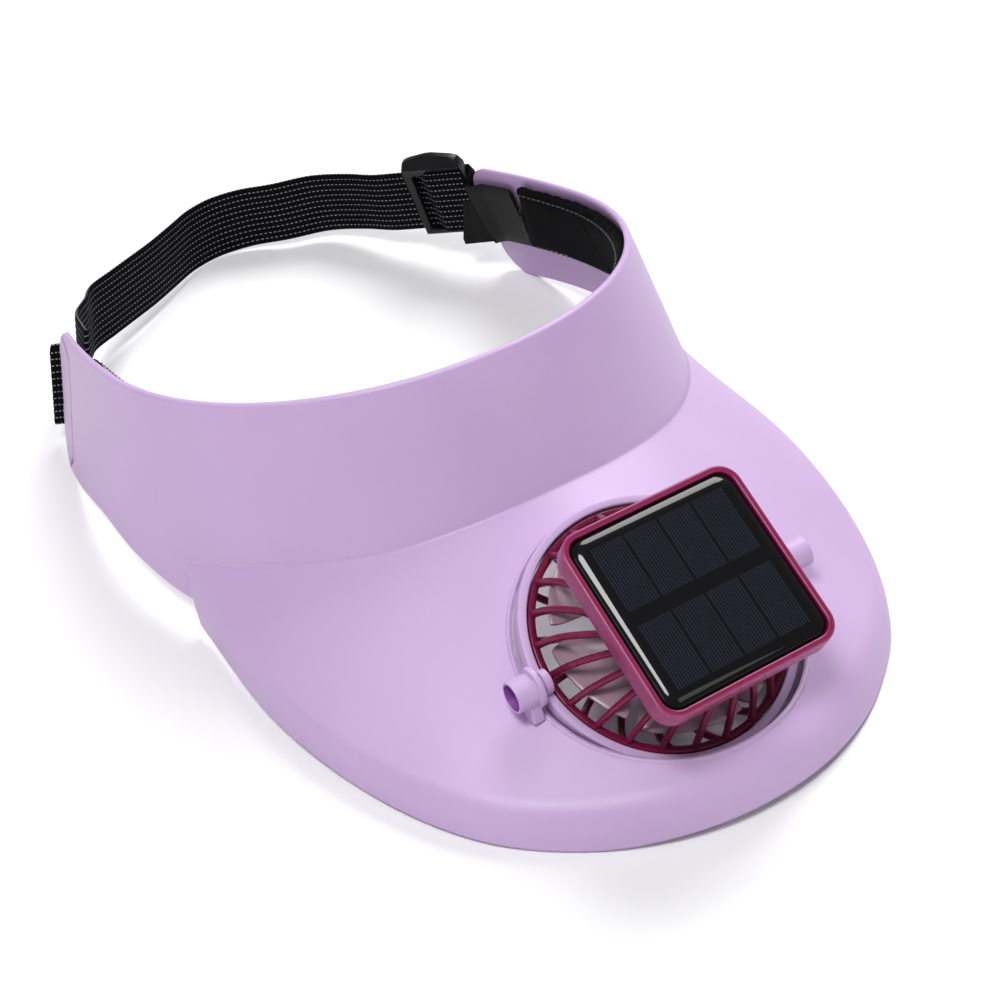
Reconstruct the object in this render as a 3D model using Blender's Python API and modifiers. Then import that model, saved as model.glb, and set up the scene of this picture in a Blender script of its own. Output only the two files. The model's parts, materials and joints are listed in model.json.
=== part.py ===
"""Solar fan hat: an open-backed sun visor with a tilting fan in its brim and a solar panel on the fan.

Metres, +Z up. The hat is shaped in its own frame: the rim of the band lies in the plane z = 0, X runs
from side to side and -Y is the front. An empty then turns that frame to the way the hat rests on a
table, on the bottoms of its two tabs and the front edge of its brim.
"""

import math

import bmesh
import bpy
import numpy as np
from mathutils import Matrix, Vector

# Clearances
GAP = 0.0003
MERGE = 0.00001

# Crown band
HEAD_HALF_WIDTH = 0.0800
HEAD_FRONT_DEPTH = 0.0936
RIM_POWER = 2.1
TAB_REACH = 0.0600
TAB_PINCH = 0.0051
BAND_WALL = 0.0022
BAND_DEPTH = 0.0460
TAB_CORNER = 0.0110

# Brim
BRIM_OVERHANG = 0.0106
BRIM_REACH = 0.0971
BRIM_HALF_WIDTH = HEAD_HALF_WIDTH + BRIM_OVERHANG
BRIM_FRONT = HEAD_FRONT_DEPTH + BRIM_REACH
BRIM_DROP = 0.0935
BRIM_WALL = 0.0024
BRIM_CROWN = 0.0022
SHOULDER_RADIUS = 0.0070
SKIRT_HEIGHT = 0.0106

# Fan opening and pivot
FAN_BEYOND_BAND = 0.0574
FAN_FORWARD = HEAD_FRONT_DEPTH + FAN_BEYOND_BAND
FAN_BELOW_RIM = 0.0662
HOLE_RADIUS = 0.0392
HOLE_TILT = math.radians(35.0)
POD_TILT = math.radians(43.5)

# Fan pod
POD_PLAY = 0.0013
POD_RADIUS = HOLE_RADIUS - POD_PLAY
POD_WALL = 0.0020
POD_RING_TOP = -0.0016
POD_RING_HEIGHT = 0.0060
LUG_RADIUS = 0.0042
PIN_RADIUS = 0.0026
PIN_CLEARANCE = 0.0004
PIN_SHARE = 0.60
SLEEVE_WALL = 0.0014
SLEEVE_LENGTH = 0.0076
SLEEVE_FLANGE = 0.0016
FLANGE_WIDTH = 0.0011
SLEEVE_INSET = 0.0004
FOOT_LENGTH = 0.0034
FOOT_WIDTH = 0.0052

# Fan cage
CAGE_OUTER = POD_RADIUS - POD_WALL - GAP
CAGE_RING_WIDTH = 0.0022
CAGE_RING_HEIGHT = 0.0030
CAGE_RING_TOP = -0.0022
CAGE_RISE = 0.0205
CAGE_POWER = 5.7
CAGE_SWEEP = math.radians(36.0)
CAGE_DISC_RADIUS = 0.0095
CAGE_DISC_HEIGHT = 0.0020
CAGE_PHASE = math.radians(-2.2)
RIB_COUNT = 24
RIB_RADIUS = 0.0011
LOWER_DROP = 0.0080
LOWER_RIB_COUNT = 16
LOWER_RIB_RADIUS = 0.0011
CAGE_RIB_START = CAGE_OUTER - CAGE_RING_WIDTH / 2
CAGE_RIB_END = 0.75 * CAGE_DISC_RADIUS

# Motor and impeller
MOTOR_RADIUS = 0.0085
MOTOR_HEIGHT = 0.0110
SHAFT_RADIUS = 0.0015
SHAFT_LENGTH = 0.0050
HUB_RADIUS = 0.0100
HUB_HEIGHT = 0.0090
BLADE_COUNT = 6
BLADE_PLAY = 0.0046
BLADE_TIP = CAGE_OUTER - CAGE_RING_WIDTH - BLADE_PLAY
BLADE_HEIGHT = 0.0085
BLADE_WALL = 0.0012
BLADE_SPREAD = math.radians(46.0)

# Solar panel
PANEL_SIDE = 0.0544
PANEL_HEIGHT = 0.0070
PANEL_CORNER = 0.0050
PANEL_FORWARD = 0.0035
PANEL_RIM = 0.0024
PANEL_RECESS = 0.0022
POST_RADIUS = 0.0065
POST_HEIGHT = 0.0082
TILE_PROUD = 0.0006
TILE_CORNER = 0.0032

# Sweat pad
PAD_TOP = 0.0018
PAD_HEIGHT = 0.0275
PAD_WALL = 0.0040
PAD_END = 0.845
PAD_SLANT = 0.05

# Strap and buckle
STRAP_WIDTH = 0.0242
STRAP_WALL = 0.0014
STRAP_TOP = 0.0010
STRAP_REACH = 0.0720
LOOP_WALL = 0.0040
LOOP_TOP = 0.0045
LOOP_TAIL = 0.0080
FLAP_WALL = 0.0018
FLAP_SLACK = 0.0006
BUCKLE_LENGTH = 0.0226
BUCKLE_WALL = 0.0024
BUCKLE_BAR = 0.0026
BUCKLE_TOP_BAR = 0.0046
BUCKLE_FOOT_BAR = 0.0018
BUCKLE_PLAY = 0.0004

# Share along the half band from its front centre, flare in degrees, depth and brim joint as shares of
# BAND_DEPTH
BAND_ROWS = (
    (0.00, 18.0, 0.93, 0.850),
    (0.12, 15.5, 1.00, 0.895),
    (0.25, 13.0, 1.14, 0.965),
    (0.38, 12.0, 1.27, 0.985),
    (0.50, 12.0, 1.29, 1.010),
    (0.62, 13.5, 1.13, 1.010),
    (0.75, 14.5, 0.99, 0.980),
    (0.88, 15.0, 0.96, 0.950),
    (1.00, 14.0, 0.95, 0.940),
)
JOINT_END = 0.514

# Share along the half brim, then the shoulder's side, forward and downward places as shares of
# BRIM_HALF_WIDTH, BRIM_FRONT and BRIM_DROP
BRIM_ROWS = (
    (0.000, 0.000, 1.000, 1.000),
    (0.167, 0.262, 0.980, 0.998),
    (0.333, 0.514, 0.919, 0.986),
    (0.500, 0.751, 0.817, 0.928),
    (0.667, 0.913, 0.658, 0.842),
    (0.833, 1.000, 0.458, 0.726),
    (1.000, 0.993, 0.221, 0.593),
)

# Strap route along its upper edge: side place as a share of HEAD_HALF_WIDTH, place behind the tabs as a
# share of STRAP_REACH, rise above the tabs as a share of STRAP_WIDTH
STRAP_ROWS = (
    (-0.830, 0.170, 0.00),
    (-0.755, 0.290, 0.00),
    (-0.690, 0.420, 0.00),
    (-0.563, 0.515, 0.01),
    (-0.445, 0.590, 0.03),
    (-0.323, 0.670, 0.05),
    (-0.183, 0.785, 0.07),
    (-0.046, 0.887, 0.10),
    (0.084, 0.937, 0.10),
    (0.199, 0.907, 0.10),
    (0.330, 0.820, 0.08),
    (0.502, 0.748, 0.05),
    (0.620, 0.587, 0.02),
    (0.685, 0.440, 0.00),
    (0.714, 0.335, 0.00),
)


def smooth_read(knots, values, slopes, place):
    """One row read between the knots on a cubic with the given slopes."""
    i = min(max(int(np.searchsorted(knots, place, side="right")) - 1, 0), len(knots) - 2)
    span = knots[i + 1] - knots[i]
    t = (place - knots[i]) / span
    return (
        (2 * t**3 - 3 * t**2 + 1) * values[i]
        + (t**3 - 2 * t**2 + t) * span * slopes[i]
        + (3 * t**2 - 2 * t**3) * values[i + 1]
        + (t**3 - t**2) * span * slopes[i + 1]
    )


def sections(rows, share):
    """A table of sections read at one share; every column but a side place is level at the first row."""
    table = np.array(rows)
    knots, values = table[:, 0], table[:, 1:]
    slopes = np.gradient(values, knots, axis=0)
    slopes[0, values[0] != 0.0] = 0.0
    return smooth_read(knots, values, slopes, abs(share))


def rim_outline():
    """Half of the rim's inner line from the front centre to the tab's end, with its outward normals."""
    turn = np.linspace(0.0, math.pi / 2, 400)
    front_x = HEAD_HALF_WIDTH * np.sin(turn) ** (2 / RIM_POWER)
    front_y = -HEAD_FRONT_DEPTH * np.cos(turn).clip(0.0) ** (2 / RIM_POWER)
    rear_y = np.linspace(0.0, TAB_REACH, 160)[1:]
    rear_x = HEAD_HALF_WIDTH - TAB_PINCH * (rear_y / TAB_REACH) ** 2
    line = np.stack([np.append(front_x, rear_x), np.append(front_y, rear_y)], 1)
    length = np.append(0.0, np.cumsum(np.hypot(*np.diff(line, axis=0).T)))
    along = np.linspace(0.0, length[-1], 240)
    line = np.stack([np.interp(along, length, line[:, k]) for k in (0, 1)], 1)
    tangent = np.gradient(line, axis=0)
    tangent /= np.hypot(*tangent.T)[:, None]
    normal = np.stack([tangent[:, 1], -tangent[:, 0]], 1)
    normal[0] = (0.0, -1.0)
    return along / along[-1], line, normal, along[-1]


RIM_SHARE, RIM_LINE, RIM_NORMAL, RIM_LENGTH = rim_outline()


def band_point(share, depth, outset):
    """A point at a depth below the rim, a distance outside the band's inner surface."""
    side = -1.0 if share < 0 else 1.0
    place = [np.interp(abs(share), RIM_SHARE, RIM_LINE[:, k]) for k in (0, 1)]
    normal = [np.interp(abs(share), RIM_SHARE, RIM_NORMAL[:, k]) for k in (0, 1)]
    flare = math.radians(sections(BAND_ROWS, share)[0])
    reach = outset + depth * math.tan(flare)
    return Vector((side * (place[0] + reach * normal[0]), place[1] + reach * normal[1], -depth))


def clear_of_band(point, share):
    """The point, moved out to the band's outer surface and the gap where it lies inside them."""
    wall = band_point(share, -point[2], BAND_WALL + GAP)
    side = -1.0 if share < 0 else 1.0
    normal = [np.interp(abs(share), RIM_SHARE, RIM_NORMAL[:, k]) for k in (0, 1)]
    normal[0] *= side
    inside = (wall[0] - point[0]) * normal[0] + (wall[1] - point[1]) * normal[1]
    if inside <= 0.0:
        return point
    return np.array((point[0] + inside * normal[0], point[1] + inside * normal[1], point[2]))


def band_depth(share):
    return BAND_DEPTH * sections(BAND_ROWS, share)[1]


def joint_depth(share):
    return BAND_DEPTH * sections(BAND_ROWS, share)[2]


def shoulder(share):
    """The brim's virtual corner between its top and its skirt."""
    side = -1.0 if share < 0 else 1.0
    wide, front, drop = sections(BRIM_ROWS, share)
    return Vector((side * wide * BRIM_HALF_WIDTH, -front * BRIM_FRONT, -drop * BRIM_DROP))


def brim_profile(share, lift=0.0, top_steps=7, roll_steps=4):
    """The brim's outer line at one share, from the band over the shoulder to the skirt's bottom."""
    root = band_point(share * JOINT_END, joint_depth(share * JOINT_END), BAND_WALL + GAP)
    corner = shoulder(share)
    inward = root - corner
    start = corner + inward.normalized() * min(SHOULDER_RADIUS, 0.7 * inward.length)
    bulge = BRIM_CROWN * inward.length / BRIM_WIDTH_FRONT * (1 - abs(share)) * 4
    line = []
    for i in range(top_steps):
        t = i / top_steps
        line.append(root.lerp(start, t) + Vector((0, 0, bulge * t * (1 - t))))
    under = corner - Vector((0, 0, SHOULDER_RADIUS))
    for i in range(roll_steps + 1):
        t = i / roll_steps
        line.append((1 - t) ** 2 * start + 2 * t * (1 - t) * corner + t**2 * under)
    line.append(corner - Vector((0, 0, SKIRT_HEIGHT)))
    return [p + Vector((0, 0, lift)) for p in line]


BRIM_WIDTH_FRONT = (shoulder(0.0) - band_point(0.0, joint_depth(0.0), BAND_WALL)).length


def new_collection(name):
    collection = bpy.data.collections.new(name)
    bpy.context.scene.collection.children.link(collection)
    return collection


def finish(name, colour, roughness, metallic=0.0):
    """A Principled material."""
    material = bpy.data.materials.new(name)
    material.use_nodes = True
    shader = material.node_tree.nodes["Principled BSDF"]
    shader.inputs["Base Color"].default_value = (*colour, 1.0)
    shader.inputs["Roughness"].default_value = roughness
    shader.inputs["Metallic"].default_value = metallic
    return material


def add_object(name, mesh, material, parent, collection=None):
    item = bpy.data.objects.new(name, mesh)
    (collection or HAT).objects.link(item)
    item.parent = parent
    if material:
        mesh.materials.append(material)
    mesh.shade_smooth()
    mesh.set_sharp_from_angle(angle=math.radians(35))
    return item


def mesh_from_bmesh(name, bm):
    mesh = bpy.data.meshes.new(name)
    bm.to_mesh(mesh)
    bm.free()
    return mesh


def add_empty(name, location, turn_x, parent=None):
    empty = bpy.data.objects.new(name, None)
    HAT.objects.link(empty)
    empty.location = location
    empty.rotation_euler = (turn_x, 0.0, 0.0)
    empty.parent = parent
    return empty


def sheet(name, columns):
    """An open surface through columns of points."""
    bm = bmesh.new()
    grid = [[bm.verts.new(p) for p in column] for column in columns]
    for left, right in zip(grid, grid[1:]):
        for k in range(len(left) - 1):
            bm.faces.new((left[k], left[k + 1], right[k + 1], right[k]))
    return mesh_from_bmesh(name, bm)


def solidify(item, wall, offset):
    shell = item.modifiers.new("wall", "SOLIDIFY")
    shell.thickness = wall
    shell.offset = offset
    shell.use_even_offset = True


def loft(name, rings):
    """A closed solid through rings of points, each ring closed on itself."""
    bm = bmesh.new()
    loops = [[bm.verts.new(p) for p in ring] for ring in rings]
    for left, right in zip(loops, loops[1:]):
        for k in range(len(left)):
            m = (k + 1) % len(left)
            bm.faces.new((left[k], left[m], right[m], right[k]))
    bm.faces.new(reversed(loops[0]))
    bm.faces.new(loops[-1])
    bmesh.ops.recalc_face_normals(bm, faces=bm.faces)
    return mesh_from_bmesh(name, bm)


def turned(name, profile, steps, material, parent, collection=None):
    """A ring or a knob: a closed profile at +X, running down its outer side, turned about Z."""
    bm = bmesh.new()
    points = [bm.verts.new((r, 0.0, z)) for r, z in profile]
    closed = all(r > MERGE for r, z in profile)
    for a, b in zip(points, points[1:] + points[:1] if closed else points[1:]):
        bm.edges.new((a, b))
    item = add_object(name, mesh_from_bmesh(name, bm), material, parent, collection)
    screw = item.modifiers.new("turn", "SCREW")
    screw.axis = "Z"
    screw.angle = 2 * math.pi
    screw.steps = steps
    screw.render_steps = steps
    screw.use_merge_vertices = True
    screw.merge_threshold = MERGE
    screw.use_smooth_shade = True
    return item


def cylinder(name, radius, start, end, sides, collection):
    """A plain round bar between two points, as a tool for a Boolean."""
    bm = bmesh.new()
    span = Vector(end) - Vector(start)
    turn = span.to_track_quat("Z", "Y").to_matrix().to_4x4()
    place = Matrix.Translation((Vector(start) + Vector(end)) / 2) @ turn
    bmesh.ops.create_cone(
        bm, cap_ends=True, segments=sides, radius1=radius, radius2=radius, depth=span.length, matrix=place
    )
    return add_object(name, mesh_from_bmesh(name, bm), None, None, collection)


def tool(item, parent):
    item.parent = parent
    item.hide_render = True
    item.display_type = "WIRE"
    return item


def boolean(item, cutter, operation):
    step = item.modifiers.new(cutter.name, "BOOLEAN")
    step.operation = operation
    step.solver = "EXACT"
    step.object = cutter


def bar_mesh(name, points, radius, sides_setting):
    """A round rib along a line of points, as a mesh with welded caps."""
    curve = bpy.data.curves.new(name, "CURVE")
    curve.dimensions = "3D"
    spline = curve.splines.new("POLY")
    spline.points.add(len(points) - 1)
    for target, point in zip(spline.points, points):
        target.co = (*point, 1.0)
    curve.bevel_depth = radius
    curve.bevel_resolution = sides_setting
    curve.use_fill_caps = True
    holder = bpy.data.objects.new(name, curve)
    bpy.context.scene.collection.objects.link(holder)
    bpy.context.view_layer.update()
    mesh = bpy.data.meshes.new_from_object(holder.evaluated_get(bpy.context.evaluated_depsgraph_get()))
    bpy.data.objects.remove(holder)
    bpy.data.curves.remove(curve)
    return mesh


def ring_of_bars(name, points, radius, sides_setting, count, parent):
    """The rib repeated round Z, joined in one mesh of bars that stay clear of each other."""
    rib = bar_mesh(name, points, radius, sides_setting)
    bm = bmesh.new()
    for i in range(count):
        before = len(bm.verts)
        bm.from_mesh(rib)
        bm.verts.ensure_lookup_table()
        turn = Matrix.Rotation(2 * math.pi * i / count, 4, "Z")
        bmesh.ops.transform(bm, matrix=turn, verts=bm.verts[before:])
    bmesh.ops.remove_doubles(bm, verts=bm.verts, dist=MERGE)
    bpy.data.meshes.remove(rib)
    return tool(add_object(name, mesh_from_bmesh(name, bm), None, None, TOOLS), parent)


# Clears the scene
for old in list(bpy.data.objects):
    bpy.data.objects.remove(old)
HAT = new_collection("solar_fan_hat")
TOOLS = new_collection("cutters")

LILAC = finish("lilac_plastic", (0.58, 0.43, 0.70), 0.45)
BURGUNDY = finish("burgundy_plastic", (0.19, 0.003, 0.036), 0.35)
MAUVE = finish("mauve_plastic", (0.23, 0.13, 0.18), 0.40)
BLACK_PLASTIC = finish("black_plastic", (0.010, 0.010, 0.011), 0.40)
BLACK_FOAM = finish("black_foam", (0.012, 0.011, 0.013), 0.90)
BLACK_WEAVE = finish("black_elastic", (0.011, 0.011, 0.012), 0.85)
BLACK_TRIM = finish("black_flap", (0.012, 0.012, 0.013), 0.60)
STEEL = finish("motor_steel", (0.35, 0.35, 0.36), 0.35, 1.0)
CELLS = finish("solar_cells", (0.007, 0.008, 0.012), 0.12)

hat_frame = add_empty("hat_frame", (0.0, 0.0, 0.0), 0.0)
fan_pivot = add_empty("fan_pivot", (0.0, -FAN_FORWARD, -FAN_BELOW_RIM), POD_TILT, hat_frame)


def make_crown_band():
    """The open band: its outer surface in columns from the rim down, with rounded tab corners."""
    columns = []
    for share in np.linspace(-1.0, 1.0, 49):
        depth = band_depth(share)
        column = []
        for level in (0.0, 0.06, 0.16, 0.40, 0.68, 0.88, 0.96, 1.0):
            from_edge = min(level, 1.0 - level) * depth
            short = 0.0
            if from_edge < TAB_CORNER:
                short = TAB_CORNER - math.sqrt(TAB_CORNER**2 - (TAB_CORNER - from_edge) ** 2)
            reach = 1.0 - short / RIM_LENGTH
            place = share * reach
            column.append(band_point(place, level * band_depth(place), BAND_WALL))
        columns.append(column)
    band = add_object("crown_band", sheet("crown_band", columns), LILAC, hat_frame)
    solidify(band, BAND_WALL, -1.0)
    return band


def brim_rings(lift, wall):
    """Closed sections of the brim, each its outer line and the inner line a wall below it."""
    shares = np.linspace(-1.0, 1.0, 41)
    outer = np.array([brim_profile(s, lift) for s in shares])
    along = np.gradient(outer, axis=0)
    down = np.gradient(outer, axis=1)
    normal = np.cross(down, along)
    normal /= np.linalg.norm(normal, axis=2)[:, :, None]
    inner = outer - wall * normal
    for k, share in enumerate(shares):
        place = share * JOINT_END
        inner[k, 0] = band_point(place, joint_depth(place) + 1.2 * wall - lift, BAND_WALL + GAP)
        inner[k] = [clear_of_band(point, place) for point in inner[k]]
    return [list(o) + list(i)[::-1] for o, i in zip(outer, inner)]


def make_brim():
    brim = add_object("brim", loft("brim", brim_rings(0.0, BRIM_WALL)), LILAC, hat_frame)
    axis = Vector((0.0, -math.sin(HOLE_TILT), math.cos(HOLE_TILT)))
    centre = Vector((0.0, -FAN_FORWARD, -FAN_BELOW_RIM))
    ends = (centre - axis * HOLE_RADIUS, centre + axis * HOLE_RADIUS)
    hole = cylinder("fan_hole", HOLE_RADIUS, *ends, 64, TOOLS)
    boolean(brim, tool(hole, hat_frame), "DIFFERENCE")
    return brim


def make_sleeve(side, name):
    """A pivot sleeve: a flanged tube round the pin, with a foot that sits on the brim."""
    bore = PIN_RADIUS + PIN_CLEARANCE
    outer = bore + SLEEVE_WALL
    near = HOLE_RADIUS + SLEEVE_INSET
    profile = [
        (bore, near),
        (bore, near + SLEEVE_LENGTH),
        (outer, near + SLEEVE_LENGTH),
        (outer, near + SLEEVE_FLANGE),
        (outer + FLANGE_WIDTH, near + SLEEVE_FLANGE),
        (outer + FLANGE_WIDTH, near),
    ]
    pivot = Vector((0.0, -FAN_FORWARD, -FAN_BELOW_RIM))
    sleeve = turned(name, profile, 24, LILAC, hat_frame)
    sleeve.location = pivot
    sleeve.rotation_euler = (0.0, side * math.pi / 2, 0.0)
    bm = bmesh.new()
    bmesh.ops.create_cube(bm, size=1.0)
    foot_height = 3 * outer
    bmesh.ops.scale(bm, verts=bm.verts, vec=(FOOT_LENGTH, FOOT_WIDTH, foot_height))
    centre_x = side * (near + SLEEVE_FLANGE / 2 + FOOT_LENGTH / 2)
    foot_top = -bore - SLEEVE_WALL / 2
    bmesh.ops.translate(bm, verts=bm.verts, vec=pivot + Vector((centre_x, 0.0, foot_top - foot_height / 2)))
    foot = tool(add_object(name + "_foot", mesh_from_bmesh(name + "_foot", bm), None, None, TOOLS), hat_frame)
    boolean(sleeve, foot, "UNION")
    boolean(sleeve, BRIM_SPACE, "DIFFERENCE")


def make_pod_ring():
    """The pod's lilac ring with a pin on each side."""
    inner = POD_RADIUS - POD_WALL
    profile = [
        (POD_RADIUS, POD_RING_TOP),
        (POD_RADIUS, POD_RING_TOP - POD_RING_HEIGHT),
        (inner, POD_RING_TOP - POD_RING_HEIGHT),
        (inner, POD_RING_TOP),
    ]
    ring = turned("pod_ring", profile, 48, LILAC, fan_pivot)
    for side, name in ((-1, "left"), (1, "right")):
        face = (side * inner, 0.0, 0.0)
        root = (side * POD_RADIUS, 0.0, 0.0)
        end = (side * (HOLE_RADIUS + SLEEVE_INSET + SLEEVE_LENGTH * PIN_SHARE), 0.0, 0.0)
        boolean(ring, tool(cylinder("lug_" + name, LUG_RADIUS, face, root, 24, TOOLS), fan_pivot), "UNION")
        boolean(ring, tool(cylinder("pin_" + name, PIN_RADIUS, root, end, 16, TOOLS), fan_pivot), "UNION")


def cage_rise(radius):
    return CAGE_RISE * (1 - (radius / CAGE_OUTER) ** CAGE_POWER)


def make_cage_upper():
    """The upper guard: a ring, swept ribs and the disc that carries the panel's post."""
    base = CAGE_RING_TOP - CAGE_RING_HEIGHT
    profile = [
        (CAGE_OUTER, CAGE_RING_TOP),
        (CAGE_OUTER, base),
        (CAGE_OUTER - CAGE_RING_WIDTH, base),
        (CAGE_OUTER - CAGE_RING_WIDTH, CAGE_RING_TOP),
    ]
    cage = turned("fan_cage_upper", profile, 48, BURGUNDY, fan_pivot)
    middle = (CAGE_RING_TOP + base) / 2
    points = []
    for t in np.linspace(0.0, 1.0, 7):
        radius = CAGE_RIB_START + (CAGE_RIB_END - CAGE_RIB_START) * t**1.4
        turn = CAGE_PHASE + CAGE_SWEEP * t**1.8
        height = middle + cage_rise(radius) - cage_rise(CAGE_RIB_START)
        points.append((radius * math.cos(turn), radius * math.sin(turn), height))
    boolean(cage, ring_of_bars("upper_ribs", points, RIB_RADIUS, 0, RIB_COUNT, fan_pivot), "UNION")
    base, top = points[-1][2] - CAGE_DISC_HEIGHT / 2, points[-1][2] + CAGE_DISC_HEIGHT / 2
    disc = cylinder("upper_disc", CAGE_DISC_RADIUS, (0, 0, base), (0, 0, top), 32, TOOLS)
    boolean(cage, tool(disc, fan_pivot), "UNION")
    return top


def make_cage_lower():
    """The lower guard: a ring and straight ribs that dip to the disc under the motor."""
    top = CAGE_RING_TOP - CAGE_RING_HEIGHT - GAP
    base = top - CAGE_RING_HEIGHT
    profile = [
        (CAGE_OUTER, top),
        (CAGE_OUTER, base),
        (CAGE_OUTER - CAGE_RING_WIDTH, base),
        (CAGE_OUTER - CAGE_RING_WIDTH, top),
    ]
    cage = turned("fan_cage_lower", profile, 48, BURGUNDY, fan_pivot)
    middle = (top + base) / 2
    floor = middle - LOWER_DROP
    lean = -CAGE_SWEEP / 2
    points = []
    for t, drop in ((0.0, 0.0), (0.25, 0.75), (1.0, 1.0)):
        radius = CAGE_RIB_START + (CAGE_RIB_END - CAGE_RIB_START) * t
        height = middle - drop * LOWER_DROP
        points.append((radius * math.cos(lean * t), radius * math.sin(lean * t), height))
    boolean(cage, ring_of_bars("lower_ribs", points, LOWER_RIB_RADIUS, 0, LOWER_RIB_COUNT, fan_pivot), "UNION")
    base, top = floor - CAGE_DISC_HEIGHT / 2, floor + CAGE_DISC_HEIGHT / 2
    disc = cylinder("lower_disc", CAGE_DISC_RADIUS, (0, 0, base), (0, 0, top), 32, TOOLS)
    boolean(cage, tool(disc, fan_pivot), "UNION")
    return top


def make_motor(floor):
    """The motor's can on the lower disc, with its shaft."""
    base = floor + GAP
    top = base + MOTOR_HEIGHT
    profile = [
        (0.0, top + SHAFT_LENGTH),
        (SHAFT_RADIUS, top + SHAFT_LENGTH),
        (SHAFT_RADIUS, top),
        (MOTOR_RADIUS, top),
        (MOTOR_RADIUS, base),
        (0.0, base),
    ]
    turned("motor", profile, 24, STEEL, fan_pivot)
    return top


def make_impeller(motor_top):
    """The fan wheel: a hub bored for the shaft and pitched blades round it."""
    base = motor_top + GAP
    top = base + HUB_HEIGHT
    bore = SHAFT_RADIUS + GAP
    bore_top = motor_top + SHAFT_LENGTH + GAP
    profile = [
        (0.0, top),
        (HUB_RADIUS, top),
        (HUB_RADIUS, base),
        (bore, base),
        (bore, bore_top),
        (0.0, bore_top),
    ]
    wheel = turned("impeller", profile, 24, MAUVE, fan_pivot)
    middle = base + HUB_HEIGHT * 0.45
    bm = bmesh.new()
    for i in range(BLADE_COUNT):
        start = 2 * math.pi * i / BLADE_COUNT
        rings = []
        for t in np.linspace(0.0, 1.0, 5):
            radius = 0.92 * HUB_RADIUS + (BLADE_TIP - 0.92 * HUB_RADIUS) * t
            spread = BLADE_SPREAD * (0.62 + 0.38 * t)
            rise = BLADE_HEIGHT * (0.80 - 0.25 * t)
            ring = []
            for edge, level in ((-1, -1), (0, -1), (1, -1), (1, 1), (0, 1), (-1, 1)):
                turn = start + 0.22 * t + edge * spread / 2
                height = middle + edge * rise / 2 + level * BLADE_WALL / 2
                ring.append(bm.verts.new((radius * math.cos(turn), radius * math.sin(turn), height)))
            rings.append(ring)
        for near, far in zip(rings, rings[1:]):
            for k in range(6):
                m = (k + 1) % 6
                bm.faces.new((near[k], near[m], far[m], far[k]))
        bm.faces.new(reversed(rings[0]))
        bm.faces.new(rings[-1])
    bmesh.ops.recalc_face_normals(bm, faces=bm.faces)
    blades = tool(add_object("blades", mesh_from_bmesh("blades", bm), None, None, TOOLS), fan_pivot)
    boolean(wheel, blades, "UNION")


def rounded_plate(bm, side, height, corner, centre):
    """A square plate with rounded corners, standing on centre."""
    made = bmesh.ops.create_cube(bm, size=1.0)
    bmesh.ops.scale(bm, verts=made["verts"], vec=(side, side, height))
    bmesh.ops.translate(bm, verts=made["verts"], vec=centre + Vector((0, 0, height / 2)))
    upright = [e for e in bm.edges if abs(e.verts[0].co.z - e.verts[1].co.z) > height / 2]
    bmesh.ops.bevel(bm, geom=upright, offset=corner, segments=4, profile=0.5, affect="EDGES", material=-1)


def make_panel(cage_top):
    """The panel's frame: a square tray on a post, and the tile that lies in it."""
    base = cage_top + GAP + POST_HEIGHT
    centre = Vector((0.0, -PANEL_FORWARD, base))
    bm = bmesh.new()
    rounded_plate(bm, PANEL_SIDE, PANEL_HEIGHT, PANEL_CORNER, centre)
    top = max(bm.faces, key=lambda f: f.calc_center_median().z)
    bmesh.ops.inset_region(bm, faces=[top], thickness=PANEL_RIM, use_even_offset=True)
    moved = bmesh.ops.extrude_discrete_faces(bm, faces=[top])["faces"][0]
    bmesh.ops.translate(bm, verts=moved.verts, vec=(0, 0, -PANEL_RECESS))
    frame = add_object("panel_frame", mesh_from_bmesh("panel_frame", bm), BURGUNDY, fan_pivot)
    post = cylinder("panel_post", POST_RADIUS, (0, 0, cage_top + GAP), (0, 0, base + PANEL_HEIGHT / 4), 24, TOOLS)
    boolean(frame, tool(post, fan_pivot), "UNION")
    bm = bmesh.new()
    side = PANEL_SIDE - 2 * PANEL_RIM - 2 * GAP
    floor = centre + Vector((0, 0, PANEL_HEIGHT - PANEL_RECESS + GAP))
    rounded_plate(bm, side, PANEL_RECESS - GAP + TILE_PROUD, TILE_CORNER, floor)
    add_object("solar_tile", mesh_from_bmesh("solar_tile", bm), CELLS, fan_pivot)


def make_sweat_pad():
    """The padded strip inside the band, slanted at its ends."""
    columns = []
    for share in np.linspace(-1.0, 1.0, 37):
        column = []
        for level in (0.0, 0.5, 1.0):
            place = share * (PAD_END + PAD_SLANT * level)
            column.append(band_point(place, PAD_TOP + level * PAD_HEIGHT, -GAP))
        columns.append(column)
    pad = add_object("sweat_pad", sheet("sweat_pad", columns), BLACK_FOAM, hat_frame)
    solidify(pad, PAD_WALL, -1.0)


def buckle_place():
    """The buckle's centre and its direction along the strap, seen from above."""
    last = Vector((STRAP_ROWS[-1][0] * HEAD_HALF_WIDTH, TAB_REACH + STRAP_ROWS[-1][1] * STRAP_REACH, 0.0))
    tab = band_point(1.0, STRAP_TOP, -GAP)
    tab.z = 0.0
    along = (tab - last).normalized()
    return last + along * (BUCKLE_LENGTH / 2), along


def strap_down(out):
    """The downward direction on a strap that leans out as the band's tabs do."""
    lean = math.radians(sections(BAND_ROWS, 1.0)[0])
    return out * math.sin(lean) + Vector((0, 0, -math.cos(lean)))


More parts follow.
